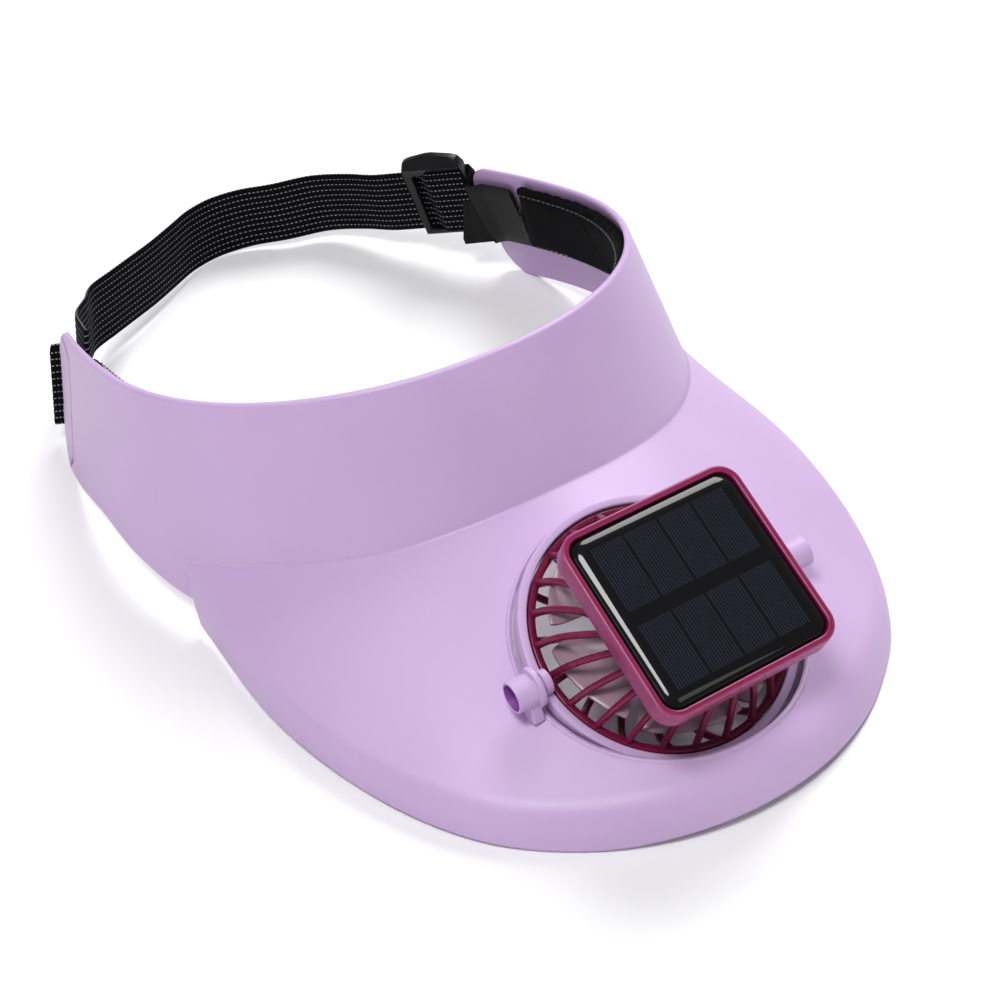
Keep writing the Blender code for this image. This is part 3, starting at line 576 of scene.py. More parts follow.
def lip_mesh():
    axis = Vector((0, -math.sin(HOLE_TILT), math.cos(HOLE_TILT)))
    across = Vector((0, math.cos(HOLE_TILT), math.sin(HOLE_TILT)))
    centre = Vector((0, -FAN_FORWARD, -FAN_BELOW_RIM))
    radius = HOLE_RADIUS + LIP_HALF_WIDTH - LIP_OVERLAP
    points = []
    for i in range(LIP_STEPS):
        turn = 2 * math.pi * i / LIP_STEPS
        aside = math.cos(turn) * Vector((1, 0, 0)) + math.sin(turn) * across
        surface = brim_tree.ray_cast(centre + radius * aside + axis * HOLE_RADIUS, -axis)[0]
        points.append(surface + axis * (LIP_PROUD - LIP_HALF_HEIGHT))
    bm = bmesh.new()
    widths, heights = [LIP_HALF_WIDTH] * LIP_STEPS, [LIP_HALF_HEIGHT] * LIP_STEPS
    sweep(bm, bar_frames(points, axis, widths, heights, closed=True), 16, closed=True)
    bmesh.ops.recalc_face_normals(bm, faces=bm.faces)
    return bm


lip = add_piece("fan_opening_lip", lip_mesh(), HAT, LILAC)
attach(lip, "root")

# The two pivot sleeves: short tubes moulded on the brim on either side of the opening. Each has a collar
# and a foot, and the pod's pin turns in the narrow end of its bore.
PIN_RADIUS = 0.0026
PIN_CLEARANCE = 0.0004
SLEEVE_WALL = 0.0014
SLEEVE_LENGTH = 0.0076
SLEEVE_MOUTH = 0.0037
SLEEVE_MOUTH_DEPTH = 0.0040
SLEEVE_FLANGE = 0.0016
FLANGE_WIDTH = 0.0011
SLEEVE_INSET = 0.0004
FOOT_LENGTH = 0.0034
FOOT_WIDTH = 0.0052
FOOT_HEIGHT = 0.0060
SLEEVE_ROUND = 0.00022
FOOT_ROUND = 0.0005
# A length too short to see, used to tell places apart
NEARLY = 0.0001


def sharp_edges(edges, degrees):
    return [edge for edge in edges if edge.calc_face_angle(0.0) > math.radians(degrees)]


def round_off(bm, edges, radius, segments=3):
    bmesh.ops.bevel(
        bm, geom=edges, offset=radius, segments=segments, profile=0.5, affect="EDGES", material=-1
    )


def turned(bm, profile, steps, rounded, place=Matrix.Identity(4)):
    """A profile of radii and heights, in order round its closed outline, spun about Z and set in place."""
    old = set(bm.verts)
    points = [bm.verts.new((radius, 0.0, height)) for radius, height in profile]
    on_axis = min(radius for radius, height in profile) < 1e-6
    ends = zip(points, points[1:]) if on_axis else zip(points, points[1:] + points[:1])
    edges = [bm.edges.new(pair) for pair in ends]
    round_z = {"axis": (0, 0, 1), "cent": (0, 0, 0), "angle": 2 * math.pi}
    bmesh.ops.spin(bm, geom=points + edges, steps=steps, use_merge=True, **round_z)
    bmesh.ops.remove_doubles(bm, verts=[v for v in bm.verts if v not in old], dist=1e-6)
    made = [v for v in bm.verts if v not in old]
    bmesh.ops.recalc_face_normals(bm, faces=list({f for v in made for f in v.link_faces}))
    round_off(bm, sharp_edges(edges_of(made), 40), rounded)
    bmesh.ops.transform(bm, matrix=place, verts=[v for v in bm.verts if v not in old])


def sleeve_mesh(side):
    bore = PIN_RADIUS + PIN_CLEARANCE
    outer = bore + SLEEVE_WALL
    near = HOLE_RADIUS + SLEEVE_INSET
    far = near + SLEEVE_LENGTH
    step = far - SLEEVE_MOUTH_DEPTH
    profile = [
        (bore, near), (outer + FLANGE_WIDTH, near), (outer + FLANGE_WIDTH, near + SLEEVE_FLANGE),
        (outer, near + SLEEVE_FLANGE), (outer, far), (SLEEVE_MOUTH, far), (SLEEVE_MOUTH, step), (bore, step),
    ]
    bm = bmesh.new()
    inner = bm.verts.layers.float.new("inner")
    turned(bm, profile, 48, SLEEVE_ROUND, Matrix.Rotation(side * math.pi / 2, 4, "Y"))
    # Painted shade: the bore's points get the full deep colour through the 'inner' layer, for the shade
    # inside the tube
    for vert in bm.verts:
        if math.hypot(vert.co.y, vert.co.z) < SLEEVE_MOUTH + NEARLY and abs(vert.co.x) < far - NEARLY:
            vert[inner] = 1.0
    foot = bmesh.ops.create_cube(bm, size=1.0)["verts"]
    bmesh.ops.scale(bm, verts=foot, vec=(FOOT_LENGTH, FOOT_WIDTH, FOOT_HEIGHT))
    place = Vector((side * (near + FOOT_LENGTH / 2 + SLEEVE_FLANGE / 2), 0, -bore - FOOT_HEIGHT / 2))
    bmesh.ops.translate(bm, verts=foot, vec=place)
    round_off(bm, edges_of(foot), FOOT_ROUND)
    return bm


SLEEVE_PLACE = HAT @ Matrix.Translation((0, -FAN_FORWARD, -FAN_BELOW_RIM))
for side, name in ((-1, "left"), (1, "right")):
    sleeve = add_piece("pivot_tube_" + name, sleeve_mesh(side), SLEEVE_PLACE, LILAC, 35.0)
    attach(sleeve, "root")
    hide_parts("pivot_sleeve_" + name)

# The pod's ring: a thin lilac hoop round the fan, which hangs in the opening by a pin on each side
POD_RADIUS = 0.0384
POD_WALL = 0.0025
POD_RING_TOP = -0.0016
POD_RING_HEIGHT = 0.0060
LUG_RADIUS = 0.0034
PIN_SHARE = 0.45
LUG_INSET = 0.0002
PIN_ROOT = 0.0005
PIN_ROUND = 0.0003
POD_ROUND = 0.0005


def plain_profile(inner, outer, low, high):
    """The section of a plain ring, or of a disc where the inner radius is none."""
    return [(inner, low), (outer, low), (outer, high), (inner, high)]


def pod_ring_mesh():
    inner = POD_RADIUS - POD_WALL
    bm = bmesh.new()
    profile = plain_profile(inner, POD_RADIUS, POD_RING_TOP - POD_RING_HEIGHT, POD_RING_TOP)
    turned(bm, profile, 128, POD_ROUND)
    end = HOLE_RADIUS + SLEEVE_INSET + SLEEVE_LENGTH * PIN_SHARE
    for side in (-1, 1):
        turn = Matrix.Rotation(side * math.pi / 2, 4, "Y")
        turned(bm, plain_profile(0.0, LUG_RADIUS, inner + LUG_INSET, POD_RADIUS), 32, PIN_ROUND, turn)
        turned(bm, plain_profile(0.0, PIN_RADIUS, POD_RADIUS - PIN_ROOT, end), 24, PIN_ROUND, turn)
    return bm


ring = add_piece("pod_hoop", pod_ring_mesh(), FAN, LILAC, 35.0)
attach(ring, "fan_pod")
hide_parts("pod_ring")

# The upper guard: a burgundy ring with 24 swept ribs that rise over the blades to a small disc, moulded in
# one piece of glossy plastic. The panel's post stands on the disc.
CAGE_RING_WIDTH = 0.0022
CAGE_RING_HEIGHT = 0.0030
CAGE_RING_TOP = -0.0022
CAGE_RISE = 0.0205
CAGE_POWER = 5.7
CAGE_SWEEP = math.radians(36.0)
CAGE_DISC_RADIUS = 0.0095
CAGE_DISC_HEIGHT = 0.0020
CAGE_PHASE = math.radians(-2.2)
RIB_COUNT = 24
RIB_HALF_WIDTH = 0.00095
RIB_HALF_HEIGHT = 0.0012
RIB_STEPS = 18
RIB_INNER_SHARE = 0.75
# Powers that crowd a rib's points towards the ring and curl it late
RIB_CROWD = 1.4
RIB_CURL = 1.8
GUARD_RING_ROUND = 0.0006
GUARD_DISC_ROUND = 0.0005
CAGE_OUTER = POD_RADIUS - POD_WALL - GAP
CAGE_RIB_START = CAGE_OUTER - CAGE_RING_WIDTH / 2


def glossy_burgundy(name, dark, light, edge):
    """Moulded ABS, dyed deep red-violet: glossy, with a faint orange peel. Its sharp edges are painted paler,
    a painted highlight where they catch the light.
    """
    material, tree, shader = new_finish(name, {"IOR": 1.53, "Specular IOR Level": 0.3})
    place = add_node(tree, "TexCoord").outputs["Object"]
    # Dye clouds of 12 mm, and orange peel of about 0.6 mm
    cloud = noise(tree, place, 0.012, 2.0)
    peel = noise(tree, place, 0.0006, 2.0)
    # Painted highlight: where the mesh is sharpest, along edges and thin ribs, the colour goes to the paler
    # edge colour
    painted_edge_highlight = add_node(tree, "NewGeometry").outputs["Pointiness"]
    painted_edge_highlight = add_node(tree, "MapRange", {"From Min": 0.515, "From Max": 0.60}, {"Value": painted_edge_highlight}).outputs[0]
    feed(tree, shader, {
        "Base Color": mixed(tree, painted_edge_highlight, mixed(tree, cloud, dark, light), edge),
        "Roughness": between(tree, cloud, 0.22, 0.32),
        "Normal": bumps(tree, peel, 0.08, 0.0002),
    })
    return material


def cage_rise(radius):
    return CAGE_RISE * (1 - (radius / CAGE_OUTER) ** CAGE_POWER)


def ring_and_disc(bm, top, disc_height):
    """A guard's outer ring and its middle disc."""
    profile = plain_profile(CAGE_OUTER - CAGE_RING_WIDTH, CAGE_OUTER, top - CAGE_RING_HEIGHT, top)
    turned(bm, profile, 128, GUARD_RING_ROUND)
    low, high = disc_height - CAGE_DISC_HEIGHT / 2, disc_height + CAGE_DISC_HEIGHT / 2
    turned(bm, plain_profile(0.0, CAGE_DISC_RADIUS, low, high), 48, GUARD_DISC_ROUND)


def repeat_rib(bm, points, half_width, half_height, count):
    """A rib swept along its points, again and again round Z."""
    widths, heights = [half_width] * len(points), [half_height] * len(points)
    frames = bar_frames(points, Vector((0, 0, 1)), widths, heights)
    for i in range(count):
        turn = Matrix.Rotation(2 * math.pi * i / count, 4, "Z")
        sweep(bm, [turn @ frame for frame in frames], 10)
    bmesh.ops.recalc_face_normals(bm, faces=bm.faces)


def upper_guard_mesh():
    middle = CAGE_RING_TOP - CAGE_RING_HEIGHT / 2
    end = RIB_INNER_SHARE * CAGE_DISC_RADIUS
    points = []
    for i in range(RIB_STEPS + 1):
        t = i / RIB_STEPS
        radius = CAGE_RIB_START + (end - CAGE_RIB_START) * t**RIB_CROWD
        turn = CAGE_PHASE + CAGE_SWEEP * t**RIB_CURL
        height = middle + cage_rise(radius) - cage_rise(CAGE_RIB_START)
        points.append(Vector((radius * math.cos(turn), radius * math.sin(turn), height)))
    bm = bmesh.new()
    ring_and_disc(bm, CAGE_RING_TOP, points[-1].z)
    repeat_rib(bm, points, RIB_HALF_WIDTH, RIB_HALF_HEIGHT, RIB_COUNT)
    return bm, points[-1].z + CAGE_DISC_HEIGHT / 2


# The guard's ribs and ring edges get a painted highlight in its edge colour
BURGUNDY = glossy_burgundy("burgundy_abs_guard", "#560624", "#6A0A36", "#861C4C")
upper_bm, cage_top = upper_guard_mesh()
upper = add_piece("upper_guard", upper_bm, FAN, BURGUNDY, 40.0)
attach(upper, "fan_pod")
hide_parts("fan_cage_upper")

# The lower guard: a second burgundy ring under the first, with 16 leaning ribs that dip to a disc under the
# motor. It closes the fan towards the wearer's face.
LOWER_DROP = 0.0080
LOWER_RIB_COUNT = 16
LOWER_RIB_RADIUS = 0.0011
# Share of the way in, then share of the whole drop
LOWER_ROWS = ((0.0, 0.0), (0.10, 0.36), (0.25, 0.75), (0.5, 0.92), (1.0, 1.0))


def lower_guard_mesh():
    top = CAGE_RING_TOP - CAGE_RING_HEIGHT - GAP
    middle = top - CAGE_RING_HEIGHT / 2
    lean = -CAGE_SWEEP / 2
    points = []
    for t, drop in LOWER_ROWS:
        radius = CAGE_RIB_START + (RIB_INNER_SHARE * CAGE_DISC_RADIUS - CAGE_RIB_START) * t
        height = middle - drop * LOWER_DROP
        points.append(Vector((radius * math.cos(lean * t), radius * math.sin(lean * t), height)))
    bm = bmesh.new()
    ring_and_disc(bm, top, middle - LOWER_DROP)
    repeat_rib(bm, points, LOWER_RIB_RADIUS, LOWER_RIB_RADIUS, LOWER_RIB_COUNT)
    return bm, middle - LOWER_DROP + CAGE_DISC_HEIGHT / 2


lower_bm, cage_floor = lower_guard_mesh()
lower = add_piece("lower_guard", lower_bm, FAN, BURGUNDY, 40.0)
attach(lower, "fan_pod")
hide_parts("fan_cage_lower")

# The motor: a small nickel-plated steel can with a rolled end and a raised bearing boss round its shaft
MOTOR_RADIUS = 0.0085
MOTOR_HEIGHT = 0.0110
SHAFT_RADIUS = 0.0015
SHAFT_LENGTH = 0.0050
BOSS_RADIUS = 0.0030
BOSS_HEIGHT = 0.0002
MOTOR_ROUND = 0.0004


def plated_steel():
    """Drawn steel under bright nickel, a little cloudy from the drawing in patches of 1.5 mm."""
    material, tree, shader = new_finish("nickel_plated_steel", {"Metallic": 1.0, "Anisotropic": 0.4})
    place = add_node(tree, "TexCoord").outputs["Object"]
    patches = noise(tree, place, 0.0015, 4.0)
    feed(tree, shader, {
        "Base Color": mixed(tree, patches, "#A9A9AA", "#C9C8C4"),
        "Roughness": between(tree, patches, 0.22, 0.40),
    })
    return material


motor_base = cage_floor + GAP
motor_top = motor_base + MOTOR_HEIGHT
motor_bm = bmesh.new()
turned(motor_bm, [
    (0.0, motor_base), (MOTOR_RADIUS, motor_base), (MOTOR_RADIUS, motor_top), (BOSS_RADIUS, motor_top),
    (BOSS_RADIUS, motor_top + BOSS_HEIGHT), (SHAFT_RADIUS, motor_top + BOSS_HEIGHT),
    (SHAFT_RADIUS, motor_top + SHAFT_LENGTH), (0.0, motor_top + SHAFT_LENGTH),
], 64, MOTOR_ROUND)
motor = add_piece("motor_can", motor_bm, FAN, plated_steel(), 35.0)
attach(motor, "fan_pod")
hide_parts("motor")

# The fan wheel: a hub pressed on the shaft with six broad, cambered blades, moulded in smoky mauve plastic
HUB_RADIUS = 0.0100
HUB_HEIGHT = 0.0090
BLADE_COUNT = 6
BLADE_TIP = 0.0312
BLADE_HEIGHT = 0.0085
BLADE_WALL = 0.0012
BLADE_SPREAD = math.radians(61.0)
BLADE_CAMBER = 0.0008
BLADE_START = 0.0092
BLADE_SWEEP = 0.22
BLADE_LEVEL = 0.45
BLADE_ROUND = 0.0003
HUB_ROUND = 0.0010
# The blade's spread at its root and its heights at root and tip, as shares of the whole, and how much its
# tip's corners are rounded
ROOT_SPREAD = 0.62
ROOT_HEIGHT = 0.80
TIP_HEIGHT = 0.55
TIP_ROUNDING = 0.18


def smoky_mauve():
    """Moulded polystyrene in a pale smoky mauve that lets some light through its thin blades."""
    settings = {"IOR": 1.59, "Roughness": 0.28, "Subsurface Weight": 0.25}
    settings["Subsurface Radius"] = (0.004, 0.003, 0.003)
    material, tree, shader = new_finish("smoky_mauve_polystyrene", settings)
    place = add_node(tree, "TexCoord").outputs["Object"]
    feed(tree, shader, {"Base Color": mixed(tree, noise(tree, place, 0.015, 2.0), "#8E7080", "#A88C9A")})
    return material


def wheel_mesh():
    base = motor_top + GAP
    top = base + HUB_HEIGHT
    bore = SHAFT_RADIUS + GAP
    bore_top = motor_top + SHAFT_LENGTH + GAP
    middle = base + HUB_HEIGHT * BLADE_LEVEL
    bm = bmesh.new()
    for i in range(BLADE_COUNT):
        start = 2 * math.pi * i / BLADE_COUNT
        blade = bmesh.ops.create_grid(bm, x_segments=16, y_segments=12, size=1.0)["verts"]
        for vert in blade:
            t, edge = (vert.co.x + 1) / 2, vert.co.y
            radius = BLADE_START + (BLADE_TIP - BLADE_START) * t
            spread = BLADE_SPREAD * (ROOT_SPREAD + (1 - ROOT_SPREAD) * t) * (1 - TIP_ROUNDING * t**6)
            turn = start + BLADE_SWEEP * t + edge * spread / 2
            rise = BLADE_HEIGHT * (ROOT_HEIGHT + (TIP_HEIGHT - ROOT_HEIGHT) * t)
            height = middle + edge * rise / 2 + BLADE_CAMBER * (1 - edge**2)
            vert.co = (radius * math.cos(turn), radius * math.sin(turn), height)
        faces = list({f for v in blade for f in v.link_faces})
        bmesh.ops.solidify(bm, geom=faces, thickness=BLADE_WALL)
    bmesh.ops.recalc_face_normals(bm, faces=bm.faces)
    round_off(bm, sharp_edges(bm.edges, 50), BLADE_ROUND, segments=2)
    turned(bm, [
        (0.0, top), (HUB_RADIUS, top), (HUB_RADIUS, base), (bore, base), (bore, bore_top), (0.0, bore_top),
    ], 64, HUB_ROUND)
    return bm


wheel = add_piece("fan_wheel_moulding", wheel_mesh(), FAN, smoky_mauve(), 40.0)
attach(wheel, "fan_wheel")
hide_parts("impeller")

# The panel's tray: a square burgundy frame with rounded corners and edges, on a short post that is plugged
# into the guard's disc
PANEL_SIDE = 0.0544
PANEL_HEIGHT = 0.0070
PANEL_CORNER = 0.0062
PANEL_FORWARD = 0.0035
PANEL_RIM = 0.0019
PANEL_RECESS = 0.0022
PANEL_EDGE = 0.0006
POST_RADIUS = 0.0065
POST_HEIGHT = 0.0082
POST_ROUND = 0.0004


def rounded_plate(bm, side, height, corner, centre):
    """A square plate with rounded corners that stands on centre; gives its top face."""
    made = bmesh.ops.create_cube(bm, size=1.0)["verts"]
    bmesh.ops.scale(bm, verts=made, vec=(side, side, height))
    bmesh.ops.translate(bm, verts=made, vec=centre + Vector((0, 0, height / 2)))
    upright = [e for e in edges_of(made) if abs(e.verts[0].co.z - e.verts[1].co.z) > height / 2]
    round_off(bm, upright, corner, segments=10)
    return max(bm.faces, key=lambda face: face.calc_center_median().z)


def panel_mesh(centre):
    bm = bmesh.new()
    top = rounded_plate(bm, PANEL_SIDE, PANEL_HEIGHT, PANEL_CORNER, centre)
    bmesh.ops.inset_region(bm, faces=[top], thickness=PANEL_RIM, use_even_offset=True)
    sunk = bmesh.ops.extrude_discrete_faces(bm, faces=[top])["faces"][0]
    bmesh.ops.translate(bm, verts=sunk.verts, vec=(0, 0, -PANEL_RECESS))
    bottom = centre.z + PANEL_HEIGHT - PANEL_RECESS
    sharp = sharp_edges(bm.edges, 60)
    sharp = [e for e in sharp if min(abs(v.co.z - bottom) for v in e.verts) > NEARLY / 10]
    round_off(bm, sharp, PANEL_EDGE, segments=4)
    profile = plain_profile(0.0, POST_RADIUS, cage_top + GAP, centre.z + PANEL_HEIGHT / 4)
    turned(bm, profile, 48, POST_ROUND)
    return bm


panel_centre = Vector((0.0, -PANEL_FORWARD, cage_top + GAP + POST_HEIGHT))
# Painted light: the tray is a lighter copy of the guard's burgundy, for light on its sides, with a near-white
# pink painted highlight on its edges
tray_finish = glossy_burgundy("burgundy_abs_tray_painted_lighter", "#6C0A3A", "#82124C", "#D478A6")
tray = add_piece("panel_tray", panel_mesh(panel_centre), FAN, tray_finish, 40.0)
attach(tray, "fan_pod")
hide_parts("panel_frame")

# The solar tile: two rows of four silicon cells under a poured layer of clear resin, which sets with a
# smooth domed edge. Fine silver fingers run along each cell. The cells' sizes are in millimetres, as their
# UV map is.
TILE_CORNER = 0.0046
TILE_PROUD = 0.0006
TILE_DOME = 0.0014
TILE_DOME_WIDTH = 0.0035
TILE_GRID = 72
CELL_HALF_FIELD = 20.8
CELL_WIDTH = 2 * CELL_HALF_FIELD / 4
CELL_ROW_GAP = 2.1
CELL_LINE = 0.22
FINGER_PITCH = CELL_WIDTH / 13
FINGER_WIDTH = 0.16


def worked(tree, operation, first, second=None):
    """One step of arithmetic on a source, with a number or with another source."""
    if isinstance(second, bpy.types.NodeSocket):
        return add_node(tree, "Math", {"operation": operation}, {0: first, 1: second}).outputs[0]
    settings = {"operation": operation} if second is None else {"operation": operation, 1: second}
    return add_node(tree, "Math", settings, {0: first}).outputs[0]


def resin_over_cells():
    """Blue-black silicon under glossy epoxy. The UV map is in millimetres from the tile's centre."""
    settings = {"Roughness": 0.45, "IOR": 1.10, "Coat Weight": 0.65, "Coat Roughness": 0.03, "Coat IOR": 1.50}
    material, tree, shader = new_finish("epoxy_over_silicon_cells", settings)
    plane = add_node(tree, "UVMap", {"uv_map": "millimetres"}).outputs[0]
    side, front = add_node(tree, "SeparateXYZ", {}, {0: plane}).outputs[:2]
    # Along X: the cells' edges and their fingers, a little wider than the real 0.08 mm so that they show
    edge = worked(tree, "LESS_THAN", worked(tree, "PINGPONG", side, CELL_WIDTH / 2), CELL_LINE)
    finger = worked(tree, "PINGPONG", side, FINGER_PITCH / 2)
    finger = worked(tree, "LESS_THAN", finger, FINGER_WIDTH / 2)
    to_side, to_front = worked(tree, "ABSOLUTE", side), worked(tree, "ABSOLUTE", front)
    inside = worked(tree, "LESS_THAN", to_side, CELL_HALF_FIELD)
    within = worked(tree, "LESS_THAN", to_front, CELL_HALF_FIELD)
    beyond = worked(tree, "GREATER_THAN", to_front, CELL_ROW_GAP)
    field = worked(tree, "MULTIPLY", worked(tree, "MULTIPLY", inside, within), beyond)
    # Crystal clouds of about 6 mm in the silicon
    silicon = mixed(tree, noise(tree, plane, 6.0, 4.0), "#06070C", "#0F121D")
    lined = mixed(tree, edge, mixed(tree, finger, silicon, "#262A36"), "#010102")
    feed(tree, shader, {"Base Color": mixed(tree, field, "#030305", lined)})
    return material


def tile_mesh():
    half = PANEL_SIDE / 2 - PANEL_RIM - GAP
    top = PANEL_RECESS - GAP + TILE_PROUD
    bm, back = new_sheet(TILE_GRID, TILE_GRID, half)
    straight = half - TILE_CORNER
    for vert in bm.verts:
        x, y = [max(abs(v) - straight, 0.0) / TILE_CORNER for v in vert.co.xy]
        # The corner's square goes to a quarter disc
        place = Vector((x * math.sqrt(1 - y**2 / 2), y * math.sqrt(1 - x**2 / 2))) * TILE_CORNER
        if x > 0 and y > 0:
            vert.co.x = math.copysign(straight + place.x, vert.co.x)
            vert.co.y = math.copysign(straight + place.y, vert.co.y)
        to_edge = half - max(abs(vert.co.x), abs(vert.co.y))
        if x > 0 and y > 0:
            to_edge = TILE_CORNER - place.length
        dip = TILE_DOME * max(0.0, 1 - to_edge / TILE_DOME_WIDTH) ** 2
        vert[back] = vert.co
        vert.co.z = top - dip
    give_wall(bm, back)
    uv = bm.loops.layers.uv.new("millimetres")
    for face in bm.faces:
        for loop in face.loops:
            loop[uv].uv = loop.vert.co.xy * 1000
    return bm


tile_base = panel_centre + Vector((0, 0, PANEL_HEIGHT - PANEL_RECESS + GAP))
tile_place = FAN @ Matrix.Translation(tile_base)
tile = add_piece("solar_cells_in_resin", tile_mesh(), tile_place, resin_over_cells(), 60.0)
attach(tile, "fan_pod")
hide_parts("solar_tile")

# The sweat pad: a strip of foam laminated with black knit on both sides, sewn round its edge and stuck inside
# the band. Its ends are cut on a slant.
PAD_TOP = 0.0025
PAD_HEIGHT = 0.0268
PAD_WALL = 0.0040
PAD_END = 0.845
PAD_SLANT = 0.05
PAD_COLUMNS = 220
PAD_LEVELS = 20
PAD_EDGE = 0.0018
PAD_FLATTENING = 0.75
# The cloth simulation that fills the pad: room left for it, even mesh, air pressure, frames, and the furthest
# that a point may move
PAD_SLACK = 0.0006
PAD_VOXEL = 0.0016
PAD_PRESSURE = 4.0
PAD_FRAMES = 20
PAD_CAP = 0.0009


def black_knit():
    """Fine polyester knit over foam: matt, with a soft sheen and ribs of loops."""
    settings = {"Roughness": 0.92, "Sheen Weight": 0.04, "Sheen Roughness": 0.4, "Specular IOR Level": 0.06}
    settings["Sheen Tint"] = linear("#8A8A90")
    material, tree, shader = new_finish("black_polyester_knit", settings)
    place = add_node(tree, "TexCoord").outputs["Object"]
    # Loops of 0.5 mm, drawn at 0.8 mm so that they show, and pilling clouds of 8 mm
    loops = add_node(tree, "TexVoronoi", {"Scale": 1 / 0.0008}, {"Vector": place}).outputs["Distance"]
    cloud = noise(tree, place, 0.008, 4.0)
    feed(tree, shader, {
        "Base Color": mixed(tree, cloud, "#050506", "#0E0E10"),
        "Normal": bumps(tree, loops, 0.35, 0.0003),
    })
    return material


def pad_place(along, level, outset):
    share = along * (PAD_END + PAD_SLANT * level)
    return band_point(share, PAD_TOP + level * PAD_HEIGHT, outset)


def pad_mesh():
    bm, back = new_sheet(PAD_COLUMNS, PAD_LEVELS)
    for vert in bm.verts:
        along = math.sin(math.pi / 2 * vert.co.x)
        level = (1 - math.cos(math.pi / 2 * (1 - vert.co.y))) / 2
        to_end = (1 - abs(along)) * PAD_END * RIM_LENGTH
        fall = rounding(min(level * PAD_HEIGHT, (1 - level) * PAD_HEIGHT, to_end), PAD_EDGE) * PAD_FLATTENING
        vert[back] = pad_place(along, level, -GAP)
        vert.co = pad_place(along, level, -GAP - PAD_WALL + PAD_SLACK + fall)
    give_wall(bm, back)
    return bm


def swell(piece, cap, outward):
    """Inflates a padded piece with the cloth solver; no point moves past the cap, or outwards."""
    cloth = piece.modifiers.new("swell", "CLOTH")
    cloth.settings.use_pressure = True
    cloth.settings.uniform_pressure_force = PAD_PRESSURE
    cloth.settings.effector_weights.gravity = 0.0
    scene = bpy.context.scene
    for number in range(1, PAD_FRAMES + 1):
        scene.frame_set(number)
    graph = bpy.context.evaluated_depsgraph_get()
    swollen = [vert.co.copy() for vert in piece.evaluated_get(graph).data.vertices]
    piece.modifiers.remove(cloth)
    scene.frame_set(1)
    for vert, place in zip(piece.data.vertices, swollen):
        shift = place - vert.co
        shift *= min(1.0, cap / max(shift.length, 1e-9))
        away = outward(vert.co)
        vert.co += shift - away * max(shift.dot(away), 0.0)


def calm(piece):
    """Takes the remesh's small steps out of a soft piece by one round of smoothing."""
    bm = bmesh.new()
    bm.from_mesh(piece.data)
    axes = {"use_axis_x": True, "use_axis_y": True, "use_axis_z": True}
    bmesh.ops.smooth_vert(bm, verts=bm.verts, factor=0.5, **axes)
    bm.to_mesh(piece.data)
    bm.free()


def away_from_head(point):
    """The direction from the band's middle out to a point in the world, level with the hat's rim."""
    local = HAT.inverted() @ point
    return (HAT.to_3x3() @ Vector((local.x, local.y, 0.0))).normalized()


pad = add_piece("sweat_pad_cushion", pad_mesh(), HAT, black_knit(), 70.0)
remesh = pad.modifiers.new("even", "REMESH")
remesh.voxel_size = PAD_VOXEL
remesh.use_smooth_shade = True
graph = bpy.context.evaluated_depsgraph_get()
even = bpy.data.meshes.new_from_object(pad.evaluated_get(graph))
pad.modifiers.remove(remesh)
pad.data = even
swell(pad, PAD_CAP, away_from_head)
calm(pad)
soften = pad.modifiers.new("soften", "SUBSURF")
soften.levels = 1
soften.render_levels = 1
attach(pad, "root")
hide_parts("sweat_pad")

# The pad's seam: black thread in running stitches, a little inside the pad's edge on the face towards the
# head
STITCH_INSET = 0.0026
STITCH_LENGTH = 0.0021
STITCH_PITCH = 0.0030
STITCH_RADIUS = 0.00022
# One stitch: place as a share of its length, then lift and thickness as shares of its radius
STITCH_ROWS = ((-0.5, -0.6, 0.5), (-0.25, 0.5, 1.0), (0.0, 0.8, 1.1), (0.25, 0.5, 1.0), (0.5, -0.6, 0.5))


def black_thread():
    """Polyester sewing thread, black, with a twist of 0.4 mm."""
    material, tree, shader = new_finish("black_polyester_thread", {"Roughness": 0.75, "Sheen Weight": 0.3})
    place = add_node(tree, "TexCoord").outputs["Object"]
    feed(tree, shader, {"Base Color": mixed(tree, noise(tree, place, 0.0004, 2.0), "#0B0B0C", "#151517")})
    return material


def line_lengths(line):
    """The length along a line up to each of its points."""
    return np.append(0.0, np.cumsum([(b - a).length for a, b in zip(line, line[1:])]))


def stitch_row(bm, line, up):
    """Short rounded bars along a line, each bowed a little out of the cloth."""
    length = line_lengths(line)
    table = np.array([tuple(point) for point in line])
    shares, lifts, sizes = zip(*STITCH_ROWS)
    widths = [STITCH_RADIUS * size for size in sizes]
    for k in range(int(length[-1] / STITCH_PITCH)):
        places = [(k + 0.5) * STITCH_PITCH + STITCH_LENGTH * share for share in shares]
        points = [Vector([np.interp(place, length, column) for column in table.T]) for place in places]
        out = up(points[2])
        points = [point + out * lift * STITCH_RADIUS for point, lift in zip(points, lifts)]
        sweep(bm, bar_frames(points, out, widths, widths), 6)


def pad_seam_mesh():
    inset = STITCH_INSET / PAD_HEIGHT
    ends = 1 - STITCH_INSET / (PAD_END * RIM_LENGTH)
    face = -GAP - PAD_WALL
    alongs = np.linspace(-ends, ends, 160)
    levels = np.linspace(inset, 1 - inset, 12)
    rows = [[pad_place(along, level, face) for along in alongs] for level in (inset, 1 - inset)]
    rows += [[pad_place(end, level, face) for level in levels] for end in (-ends, ends)]
    bm = bmesh.new()
    for row in rows:
        stitch_row(bm, row, lambda point: -Vector((point.x, point.y, 0.0)).normalized())
    bmesh.ops.recalc_face_normals(bm, faces=bm.faces)
    return bm


seam = add_piece("sweat_pad_seam", pad_seam_mesh(), HAT, black_thread())
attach(seam, "root")

